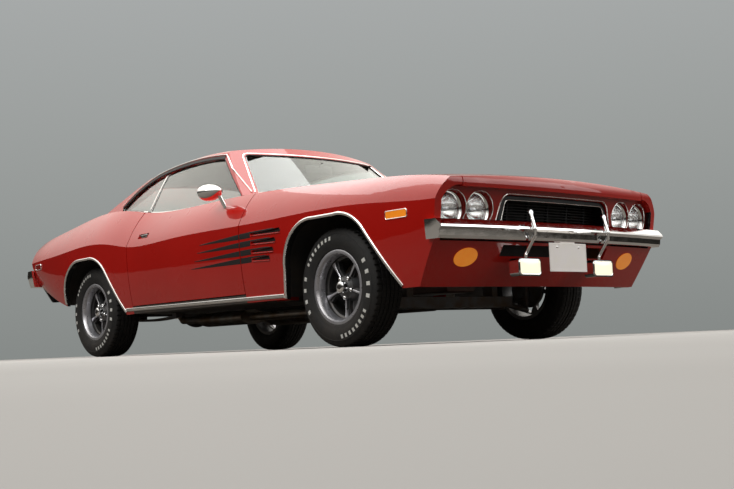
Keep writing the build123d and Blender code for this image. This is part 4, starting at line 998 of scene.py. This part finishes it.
def tail_trim():
    frames = Piece()
    for y in (-0.548, -0.25, 0.25, 0.548):
        line = oblong(y - 0.134, y + 0.134, 0.722, 0.826, 0.01, 3)
        line = along(line + [line[0]], 0.03)[:-1]
        frames.sweep(TAIL.path("back", clean(line)), half_round(0.008, 0.006, 0.001), True)
    frames.make("tail_lamp_frames", "bright")
    tips = Piece()
    for sign in (1, -1):
        tips.lathe([(0.0285, 0.0), (0.03, 0.004), (0.0305, 0.085), (0.0285, 0.088), (0.0265, 0.085),
                    (0.0265, 0.004)], (-2.24, sign * 0.43, 0.33), (-1, 0, 0), 32, loop=True)
    tips.make("exhaust_tips", "chrome", slot="exhaust_metal")
    spot = TAIL.back(0.0, 0.8)[0]
    lock = Piece().lathe([(0.0, 0.006), (0.01, 0.005), (0.016, 0.001), (0.018, 0.0)], spot,
                         (-1, 0, 0.05), 24)
    lock.make("deck_lock", "chrome")


# Windscreen wipers and cowl

def wipers():
    for i, y0 in enumerate((0.3, -0.22)):
        blade, arm = Piece(), Piece()
        line = [(y0 - 0.16 + 0.4 * t / 12, 1.005 - 0.012 * abs(t - 6) / 6) for t in range(13)]
        path = GLASS.path("front", line)
        blade.sweep([(p + n * 0.006, n) for p, n in path], flat_bar(0.008, 0.006, 0.004))
        blade.make(f"wiper_blade_{i + 1}", "rubber")
        foot = TOP.top(0.745, y0 - 0.18)
        tip = path[5]
        if foot:
            start = foot[0] + Vector((0, 0, 0.004))
            middle = start.lerp(tip[0], 0.5) + Vector((0.012, 0, 0.02))
            arm.rod([start, start + Vector((0, 0, 0.018)), middle, tip[0] + tip[1] * 0.014], 0.0035, 8)
            arm.lathe([(0, 0.024), (0.01, 0.022), (0.013, 0.01), (0.015, -0.002)], foot[0], (0, 0, 1), 16)
        arm.make(f"wiper_arm_{i + 1}", "bright")


# Cabin

SIM_FRAMES = 20
CHANNEL_DEPTH = 0.009
#  cloth: how finely it is worked out, mass, resistance to stretch and to folding, pressure from inside
CLOTH_STEPS, CLOTH_MASS, CLOTH_STRETCH, CLOTH_FOLD, CLOTH_PRESSURE = 4, 0.3, 12, 2.0, 4.0
VOXEL = 0.011


def applied(piece):
    """The piece's mesh with its modifiers applied."""
    graph = bpy.context.evaluated_depsgraph_get()
    mesh = bpy.data.meshes.new_from_object(piece.evaluated_get(graph))
    piece.modifiers.clear()
    old, piece.data = piece.data, mesh
    bpy.data.meshes.remove(old)


def pad_ring(centre, across, up, half_w, half_t, count=28, power=3.2):
    """One section of a cushion: a rounded oblong."""
    out = []
    for i in range(count):
        a = 2 * pi * i / count
        c, s = cos(a), sin(a)
        w = abs(c) ** (2 / power) * (1 if c >= 0 else -1)
        t = abs(s) ** (2 / power) * (1 if s >= 0 else -1)
        out.append(centre + across * (half_w * w) + up * (half_t * t))
    return out


def stuffed(name, rings, cap, channels):
    """Fills a form through rings like upholstery by a short cloth simulation, then sews its channels."""
    piece = Piece().add(*shell(rings)).make(name, "vinyl")
    shape = piece.modifiers.new("shape", "REMESH")
    shape.mode, shape.voxel_size = "VOXEL", VOXEL
    applied(piece)
    start = [v.co.copy() for v in piece.data.vertices]
    cloth = piece.modifiers.new("cloth", "CLOTH")
    s = cloth.settings
    s.quality, s.mass = CLOTH_STEPS, CLOTH_MASS
    s.tension_stiffness = s.compression_stiffness = CLOTH_STRETCH
    s.bending_stiffness = CLOTH_FOLD
    s.use_pressure, s.uniform_pressure_force = True, CLOTH_PRESSURE
    s.effector_weights.gravity = 0.0
    cloth.point_cache.frame_start, cloth.point_cache.frame_end = 1, SIM_FRAMES
    for f in range(1, SIM_FRAMES + 1):
        bpy.context.scene.frame_set(f)
        bpy.context.view_layer.update()
    applied(piece)
    bpy.context.scene.frame_set(1)
    for v, was in zip(piece.data.vertices, start):
        move = v.co - was
        if move.length > cap:
            v.co = was + move * (cap / move.length)
    finer = piece.modifiers.new("finer", "SUBSURF")
    finer.levels = finer.render_levels = 1
    applied(piece)
    places, facing = np.empty(len(piece.data.vertices) * 3), np.empty(len(piece.data.vertices) * 3)
    piece.data.vertices.foreach_get("co", places)
    piece.data.vertices.foreach_get("normal", facing)
    places, facing = places.reshape(-1, 3), facing.reshape(-1, 3)
    for test, origin, normal, width, face in channels:
        away = np.abs((places - np.array(origin)) @ np.array(normal)) / width / 2
        sewn = (facing @ np.array(face) > 0.35) & test(places.T) & (away < 1)
        places[sewn] -= np.outer(CHANNEL_DEPTH * (1 - away[sewn]) ** 2, np.array(face))
    piece.data.vertices.foreach_set("co", places.ravel())
    piece.data.update()
    piece.data.materials.clear()
    piece.data.materials.append(M["vinyl"])
    piece.data.shade_smooth()
    return piece


def seams(test, places, normal, face, width=0.007):
    """Channels square to normal, at these places along it, on the side that looks along face."""
    return [(test, normal * place, normal, width, face) for place in places]


def seats():
    ahead, left, up = Vector((1, 0, 0)), Vector((0, 1, 0)), Vector((0, 0, 1))
    everywhere = lambda p: p[0] < 9
    pieces = []
    for side, sign in SIDES:
        mid = sign * 0.386
        #  x, z centre, half width, half thickness
        rows = [(-0.215, 0.42, 0.175, 0.028), (-0.195, 0.42, 0.196, 0.044), (-0.05, 0.414, 0.2, 0.042),
                (0.1, 0.413, 0.203, 0.043), (0.195, 0.412, 0.2, 0.04), (0.222, 0.408, 0.182, 0.022)]
        rings = [pad_ring(Vector((x, mid, z)), left, up, w, t) for x, z, w, t in rows]
        pleats = [mid + k * 0.052 for k in (-2, -1, 0, 1, 2)]
        lines = seams(lambda p: (p[0] > -0.16) & (p[0] < 0.15), pleats, left, up)
        lines += seams(everywhere, [0.165], ahead, up)
        pieces.append(stuffed(f"seat_cushion_{side}", rings, 0.016, lines))
        #  the back, from its foot to its top: x, z, half width, half thickness
        rows = [(-0.195, 0.43, 0.168, 0.03), (-0.2, 0.452, 0.186, 0.046), (-0.212, 0.56, 0.192, 0.052),
                (-0.244, 0.68, 0.19, 0.05), (-0.283, 0.8, 0.178, 0.045), (-0.297, 0.85, 0.15, 0.036),
                (-0.31, 0.895, 0.118, 0.03), (-0.318, 0.945, 0.108, 0.026), (-0.321, 0.962, 0.09, 0.012)]
        rings = []
        for i, (x, z, w, t) in enumerate(rows):
            a, b = rows[max(0, i - 1)], rows[min(len(rows) - 1, i + 1)]
            run = Vector((b[0] - a[0], 0, b[1] - a[1])).normalized()
            rings.append(pad_ring(Vector((x, mid, z)), left, run.cross(left).normalized(), w, t))
        face = Vector((0.93, 0, 0.36)).normalized()
        lines = seams(lambda p: (p[2] > 0.5) & (p[2] < 0.8), pleats, left, face)
        lines += seams(everywhere, [0.812], up, face)
        pieces.append(stuffed(f"seat_back_{side}", rings, 0.014, lines))
        base = Piece()
        base.block((-0.195, mid - 0.155, 0.302), (0.195, mid + 0.155, 0.345), 0.006)
        for y in (mid - 0.12, mid + 0.12):
            base.block((-0.2, y - 0.02, 0.3005), (0.2, y + 0.02, 0.312), 0.003)
        base.block((-0.215, mid - 0.18, 0.345), (0.205, mid + 0.18, 0.369), 0.008)
        base.make(f"seat_base_{side}", "trim_black")
        hinges = Piece()
        for y in (mid - 0.196, mid + 0.196):
            hinges.block((-0.225, y - 0.004, 0.385), (-0.165, y + 0.004, 0.47), 0.003)
            hinges.lathe([(0.0, 0.008), (0.012, 0.007), (0.016, 0.0)], (-0.195, y, 0.425),
                         (0, 1 if y > mid else -1, 0), 20)
        hinges.make(f"seat_hinges_{side}", "chrome")
    for piece in pieces:
        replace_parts(piece, "front_seats")
    rows = [(-0.545, 0.395, 0.055), (-0.53, 0.4, 0.07), (-0.3, 0.405, 0.072), (-0.19, 0.398, 0.06),
            (0.0, 0.392, 0.052), (0.19, 0.398, 0.06), (0.3, 0.405, 0.072), (0.53, 0.4, 0.07),
            (0.545, 0.395, 0.055)]
    rings = [pad_ring(Vector((-0.795, y, z + 0.008)), ahead, up, 0.142, t * 0.92) for y, z, t in rows]
    off_tunnel, pleats = (lambda p: np.abs(p[1]) > 0.13), [k * 0.055 for k in range(-9, 10)]
    bench = stuffed("rear_cushion", rings, 0.01, seams(off_tunnel, pleats, left, up, 0.008))
    rows = [(-0.545, 0.034), (-0.53, 0.048), (-0.3, 0.05), (-0.19, 0.044), (0.0, 0.038), (0.19, 0.044),
            (0.3, 0.05), (0.53, 0.048), (0.545, 0.034)]
    lean = Vector((-0.165, 0, 0.4)).normalized()
    front = lean.cross(left).normalized()
    if front.x < 0:
        front = -front
    rings = [pad_ring(Vector((-1.035, y, 0.7)), lean, front, 0.2, t) for y, t in rows]
    back = stuffed("rear_backrest", rings, 0.01, seams(off_tunnel, pleats, left, front, 0.008))
    base = Piece().block((-0.93, -0.54, 0.302), (-0.67, -0.19, 0.334), 0.008)
    base.block((-0.93, 0.19, 0.302), (-0.67, 0.54, 0.334), 0.008)
    base.make("rear_seat_base", "trim_black")
    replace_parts(bench, "rear_seat")
    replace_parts(back, "rear_seat")


def door_trims():
    for side, sign in SIDES:
        y = sign * 0.69
        card = Piece()
        card.block((-0.6, y - 0.009 - 0.001 * sign, 0.4), (0.56, y + 0.009 - 0.011 * sign, 0.872), 0.007)
        #  armrest and two rails: x from and to, z from and to, how far it stands out, bevel
        for x0, x1, z0, z1, out, bevel in ((-0.33, 0.13, 0.6, 0.655, 0.052, 0.016),
                                           (-0.56, 0.52, 0.69, 0.712, 0.016, 0.003),
                                           (-0.56, 0.52, 0.83, 0.858, 0.016, 0.003)):
            low, high = sorted((y - sign * 0.008, y - sign * out))
            card.block((x0, low, z0), (x1, high, z1), bevel)
        card.make(f"door_card_{side}", "vinyl", f"{side}_door")
        fittings = Piece()
        spot = Vector((0.23, y - sign * 0.012, 0.735))
        fittings.lathe([(0.0, 0.014), (0.018, 0.012), (0.024, 0.0)], spot, (0, -sign, 0), 24)
        fittings.rod([spot + Vector((0, -sign * 0.012, 0)), spot + Vector((-0.045, -sign * 0.022, -0.06)),
                      spot + Vector((-0.06, -sign * 0.03, -0.08))], 0.005, 10)
        fittings.lathe([(0.0, 0.026), (0.01, 0.022), (0.012, 0.006), (0.0, 0.0)],
                       spot + Vector((-0.06, -sign * 0.026, -0.08)), (0, -sign, 0), 16)
        latch = Vector((0.395, y - sign * 0.012, 0.7))
        fittings.block((-0.04, -0.006, -0.008), (0.04, 0.006, 0.008), 0.004,
                       at=latch + Vector((0, -sign * 0.006, 0)))
        fittings.make(f"door_card_fittings_{side}", "chrome", f"{side}_door")


def headliner():
    """Cloth lining under the roof, over the screens' pillars and above the side windows."""
    rows = []
    xs = [-0.93 + 1.16 * i / 24 for i in range(25)]
    shares = [-1 + 2 * j / 16 for j in range(17)]
    for x in xs:
        half = 0.545 - 0.03 * abs(x + 0.3)
        row = []
        for s in shares:
            hit = ROOF.cast((x, s * half, 1.12), (0, 0, 1))
            row.append(hit[0].z if hit else None)
        known = [z for z in row if z]
        if not known:
            continue
        row = [min(z if z else known[0], 1.345) for z in row]
        below = 0.007 + 0.0015 * (1 + cos(x * 40))
        rows.append([Vector((x, s * half, z - below)) for s, z in zip(shares, row)])
    top = [p for row in rows for p in row]
    verts = top + [p - Vector((0, 0, 0.004)) for p in top]
    Piece().add(verts, sheet_faces(len(rows), len(shares))).make("headliner", "lining", angle=60)


def dash_fittings():
    bezels, faces, knobs = Piece(), Piece(), Piece()
    slope = Vector((-1, 0, 0.1)).normalized()
    for y, radius in ((0.5, 0.03), (0.425, 0.044), (0.32, 0.044), (0.245, 0.03)):
        spot = Vector((0.4325, y, 0.838))
        bezels.lathe([(radius + 0.006, -0.006), (radius + 0.005, 0.004), (radius + 0.001, 0.006),
                      (radius - 0.002, 0.001), (radius - 0.002, -0.006)], spot, slope, 40, loop=True)
        faces.lathe([(0.0, 0.0005), (radius - 0.001, 0.0)], spot, slope, 40)
        needle = spot + slope * 0.0015
        knobs.rod([needle, needle + Vector((0.002, 0.5, 0.8)).normalized() * radius * 0.7], 0.0009, 6)
    for y in (0.1, 0.04, -0.02, -0.08):
        knobs.lathe([(0.0, 0.016), (0.008, 0.015), (0.01, 0.004), (0.01, -0.004)], (0.434, y, 0.8),
                    slope, 20)
    bezels.make("gauge_bezels", "bright")
    faces.make("gauge_faces", "gauge")
    knobs.make("dash_knobs", "bright")
    glove = Piece().block((-0.004, -0.165, -0.045), (0.004, 0.165, 0.045), 0.004, at=(0.437, -0.385, 0.8))
    glove.block((-0.004, -0.085, -0.024), (0.004, 0.085, 0.024), 0.003, at=(0.434, 0.01, 0.858))
    glove.make("glove_box_and_radio", "trim_black", bevel=0.001)


def console():
    piece = Piece()
    piece.block((-0.1, -0.085, 0.4655), (0.4, 0.085, 0.52), 0.014)
    piece.block((-0.06, -0.065, 0.515), (0.16, 0.065, 0.53), 0.006)
    piece.make("console", "trim_black")
    lever = Piece()
    lever.rod([(0.245, 0.0, 0.515), (0.235, 0.0, 0.62), (0.205, 0.01, 0.7)], 0.007, 12)
    lever.lathe([(0.03, -0.004), (0.026, 0.006), (0.016, 0.016), (0.009, 0.024)], (0.243, 0.0, 0.519),
                (0, 0, 1), 24)
    lever.make("shift_lever", "chrome")
    Piece().lathe([(0.0, 0.0), (0.014, 0.004), (0.021, 0.018), (0.02, 0.032), (0.012, 0.043), (0.0, 0.046)],
                  (0.206, 0.01, 0.694), (-0.15, 0.03, 1), 24).make("shift_knob", "trim_black")
    pedals = Piece()
    for y, z, half in ((0.47, 0.46, 0.03), (0.37, 0.47, 0.034)):
        pedals.block((-0.006, -half, -0.026), (0.006, half, 0.026), 0.004, at=(0.64, y, z))
        pedals.rod([(0.646, y, z), (0.69, y, z + 0.1), (0.7, y, z + 0.22)], 0.006, 8)
    pedals.block((-0.006, -0.022, -0.075), (0.006, 0.022, 0.075), 0.004, at=(0.672, 0.265, 0.415))
    pedals.make("pedals", "trim_black")


def interior():
    glass = GLASS.front(0.0, 1.235)
    mirror = Piece()
    at = glass[0] + Vector((-0.055, 0, -0.03))
    mirror.block((-0.012, -0.115, -0.028), (0.006, 0.115, 0.028), 0.01, at=at)
    mirror.rod([at + Vector((0.004, 0, 0.015)), at + Vector((0.03, 0, 0.04)),
                glass[0] + Vector((-0.012, 0, 0.01))], 0.006)
    mirror.make("cabin_mirror", "trim_black")


# Under the hood

def ring_at(x, z, radius, count=28):
    return [Vector((x, p, z + q)) for p, q in circle(radius, count)]


BANK_LEAN = 42
ENGINE_X, FAN_Z, CRANK_Z, BELT_X = 1.41, 0.6, 0.47, 1.691


def engine():
    """A plain V8 with its gearbox, inside the CAD's block."""
    iron = Piece()
    iron.block((1.17, -0.155, 0.4), (1.65, 0.155, 0.64), 0.014)
    iron.block((1.215, -0.12, 0.292), (1.59, 0.12, 0.405), 0.022)
    for sign in (1, -1):
        lean = Matrix.Rotation(radians(-BANK_LEAN * sign), 3, "X")
        iron.block((-0.235, -0.062, -0.055), (0.235, 0.062, 0.055), 0.01, lean, (1.412, sign * 0.15, 0.655))
    iron.block((1.215, -0.085, 0.62), (1.6, 0.085, 0.722), 0.018)
    iron.block((1.35, -0.055, 0.718), (1.47, 0.055, 0.792), 0.008)
    iron.block((1.64, -0.13, 0.43), (1.672, 0.13, 0.69), 0.014)
    rows = [(1.172, 0.42, 0.128), (1.12, 0.419, 0.127), (1.06, 0.405, 0.11), (0.98, 0.382, 0.088),
            (0.96, 0.378, 0.084), (0.62, 0.35, 0.074), (0.605, 0.348, 0.06), (0.426, 0.335, 0.046)]
    iron.add(*shell([ring_at(*row) for row in rows]))
    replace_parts(iron.make("engine_castings", "engine", bevel=0.002), "engine")
    covers = Piece()
    for sign in (1, -1):
        lean = Matrix.Rotation(radians(-BANK_LEAN * sign), 3, "X")
        at = Vector((1.412, sign * 0.206, 0.717))
        covers.block((-0.24, -0.058, -0.026), (0.24, 0.058, 0.03), 0.02, lean, at)
        for x in (-0.19, 0.0, 0.19):
            for y in (-0.048, 0.048):
                spot = at + lean @ Vector((x, y, 0.02))
                covers.lathe([(0.007, 0.0), (0.007, 0.01), (0.0, 0.011)], spot, lean @ Vector((0, 0, 1)), 6)
    covers.lathe([(0.02, 0.0), (0.02, 0.012), (0.016, 0.018), (0.0, 0.019)], (1.56, -0.222, 0.742),
                 (0, -0.6, 0.8), 24)
    covers.make("valve_covers", "black_gloss")
    cleaner = Piece().lathe(
        [(0.0, 0.0), (0.11, 0.0), (0.168, 0.008), (0.178, 0.018), (0.178, 0.052), (0.182, 0.056),
         (0.178, 0.062), (0.12, 0.066), (0.112, 0.062), (0.1, 0.062), (0.092, 0.068), (0.03, 0.07),
         (0.0, 0.07)],
        (ENGINE_X, 0, 0.79), (0, 0, 1), 64)
    cleaner.block((1.535, -0.045, 0.8), (1.7, 0.045, 0.842), 0.016)
    cleaner.make("air_cleaner", "black_gloss")
    nut = Piece().lathe([(0.02, 0.0), (0.016, 0.006), (0.006, 0.008), (0.006, 0.016), (0.0, 0.017)],
                        (ENGINE_X, 0, 0.859), (0, 0, 1), 20)
    for a in (radians(40), radians(220)):
        side = Vector((cos(a), sin(a), 0))
        nut.rod([(ENGINE_X, 0, 0.869), Vector((ENGINE_X, 0, 0.871)) + side * 0.018], 0.003, 8)
    for z, radius in ((CRANK_Z, 0.085), (FAN_Z, 0.07)):
        nut.lathe([(0.0, 0.0), (radius, 0.0), (radius, 0.006), (radius - 0.012, 0.013), (radius, 0.02),
                   (radius, 0.026), (0.03, 0.026), (0.0, 0.03)], (1.678, 0, z), (1, 0, 0), 48)
    nut.make("engine_bright_parts", "bright")
    belt = []
    for z, radius, first in ((FAN_Z, 0.071, 0), (CRANK_Z, 0.086, 18)):
        turns = [radians(10 * k) for k in range(first, first + 19)]
        belt += [Vector((BELT_X, radius * cos(a), z + radius * sin(a))) for a in turns]
    centre = Vector((BELT_X, 0, (FAN_Z + CRANK_Z) / 2))
    band = Piece().sweep([(p, (p - centre).normalized()) for p in belt], flat_bar(0.012, 0.006), True)
    band.make("fan_belt", "rubber")
    fan = Piece().lathe([(0.0, 0.0), (0.045, 0.0), (0.045, 0.016), (0.03, 0.022), (0.0, 0.024)],
                        (1.71, 0, FAN_Z), (1, 0, 0), 32)
    for k in range(5):
        a = radians(72 * k + 90)
        out, side = Vector((0, cos(a), sin(a))), Vector((0, -sin(a), cos(a)))
        hub = Vector((1.722, 0, FAN_Z))
        verts = []
        for r, w, lead in ((0.04, 0.018, 0.004), (0.08, 0.034, 0.012), (0.165, 0.05, 0.016),
                           (0.172, 0.044, 0.014)):
            for s in (-1, 1):
                for t in (-0.0012, 0.0012):
                    verts.append(hub + out * r + side * (s * w) + Vector((s * lead + t, 0, 0)))
        faces = []
        for i in range(3):
            for p, q in ((0, 1), (1, 3), (3, 2), (2, 0)):
                faces.append((i * 4 + p, i * 4 + q, i * 4 + 4 + q, i * 4 + 4 + p))
        fan.add(verts, faces + [(0, 2, 3, 1), (12, 13, 15, 14)])
    fan.make("radiator_fan", "exhaust")


def bay_fittings():
    tank = Piece()
    tank.block((2.076, -0.33, 0.7), (2.0895, 0.33, 0.745), 0.006)
    tank.lathe([(0.0, 0.012), (0.02, 0.01), (0.026, 0.006), (0.026, 0.0), (0.018, -0.004)],
               (2.092, -0.18, 0.752), (0, 0, 1), 24)
    shroud = [(0.205, 0.0), (0.205, 0.06), (0.26, 0.085), (0.26, 0.088), (0.202, 0.063), (0.202, 0.0)]
    tank.lathe(shroud, (2.0, 0, 0.56), (1, 0, 0), 56, loop=True)
    tank.make("radiator_tank_and_shroud", "black_gloss", slot="radiator_black")
    pipe = Piece().rod([(1.605, 0.03, 0.7), (1.66, 0.04, 0.712), (1.76, 0.08, 0.73), (1.93, 0.16, 0.735),
                        (2.04, 0.18, 0.726), (2.076, 0.18, 0.722)], 0.019, 16)
    pipe.make("radiator_top_pipe", "rubber")
    box = Piece()
    box.block((1.85, -0.424, 0.59), (2.03, -0.262, 0.77), 0.006)
    box.block((1.842, -0.4315, 0.572), (2.038, -0.252, 0.596), 0.004)
    for k in range(3):
        box.lathe([(0.0, 0.01), (0.012, 0.009), (0.014, 0.0)], (1.885 + 0.055 * k, -0.343, 0.769),
                  (0, 0, 1), 16)
    box.make("battery", "trim_black")
    posts = Piece()
    for y in (-0.4, -0.285):
        posts.lathe([(0.0, 0.016), (0.008, 0.015), (0.009, 0.0)], (1.87, y, 0.769), (0, 0, 1), 16)
    posts.make("battery_posts", "bright")
    servo = Piece().lathe([(0.0, 0.0), (0.052, 0.0), (0.057, 0.012), (0.055, 0.04), (0.03, 0.052),
                           (0.024, 0.056), (0.024, 0.15), (0.016, 0.156), (0.0, 0.157)], (0.8205, 0.362,
                           0.76), (1, 0, 0), 36)
    servo.block((0.905, 0.337, 0.775), (0.985, 0.387, 0.815), 0.006)
    servo.make("brake_cylinder", "cast")
    coil = Piece()
    coil.block((0.8205, -0.16, 0.7), (0.87, 0.12, 0.79), 0.008)
    coil.block((0.8205, -0.38, 0.64), (0.9, -0.23, 0.8), 0.014)
    coil.make("heater_box_and_wiper_motor", "trim_black")


def floor_and_light():
    mesh = bpy.data.meshes.new("floor")
    mesh.from_pydata([(-40, -40, 0), (40, -40, 0), (40, 40, 0), (-40, 40, 0)], [], [(0, 1, 2, 3)])
    M["floor"] = material("floor_paint", (0.5, 0.48, 0.45), 0.75, other=(0.46, 0.44, 0.41), patch=0.6,
                          grain=30, bump=0.04)
    tree = M["floor"].node_tree
    base = tree.nodes["Principled BSDF"].inputs["Base Color"]
    direct = tree.nodes.new("ShaderNodeLightPath").outputs["Is Camera Ray"]
    tree.links.new(blend(tree, direct, (0.07, 0.06, 0.05), base.links[0].from_socket), base)
    mesh.materials.append(M["floor"])
    ground = bpy.data.objects.new("floor", mesh)
    bpy.context.scene.collection.objects.link(ground)
    add_lamp("key", (1.2, -6.4, 5.2), (0.0, 0, 0.6), (5, 3), 210)
    add_lamp("overhead", (-0.5, 0.5, 5.2), (-0.2, 0, 0), (7, 3), 170)
    add_lamp("fill", (5.5, 3.0, 2.4), (1.5, 0, 0.5), (3, 3), 50)


bpy.context.scene.view_settings.view_transform = "Standard"
add_camera()
add_world()
dress_nodes()
wheel_lips()
sill_mouldings()
window_mouldings()
screen_mouldings()
lamp_trim()
grille_trim()
fog_lamp_faces()
number_plates()
tape_stripes()
vent_lips()
door_handles()
mirror_faces()
marker_bezels()
wheels()
tail_trim()
wipers()
interior()
seats()
door_trims()
headliner()
dash_fittings()
console()
engine()
bay_fittings()
floor_and_light()
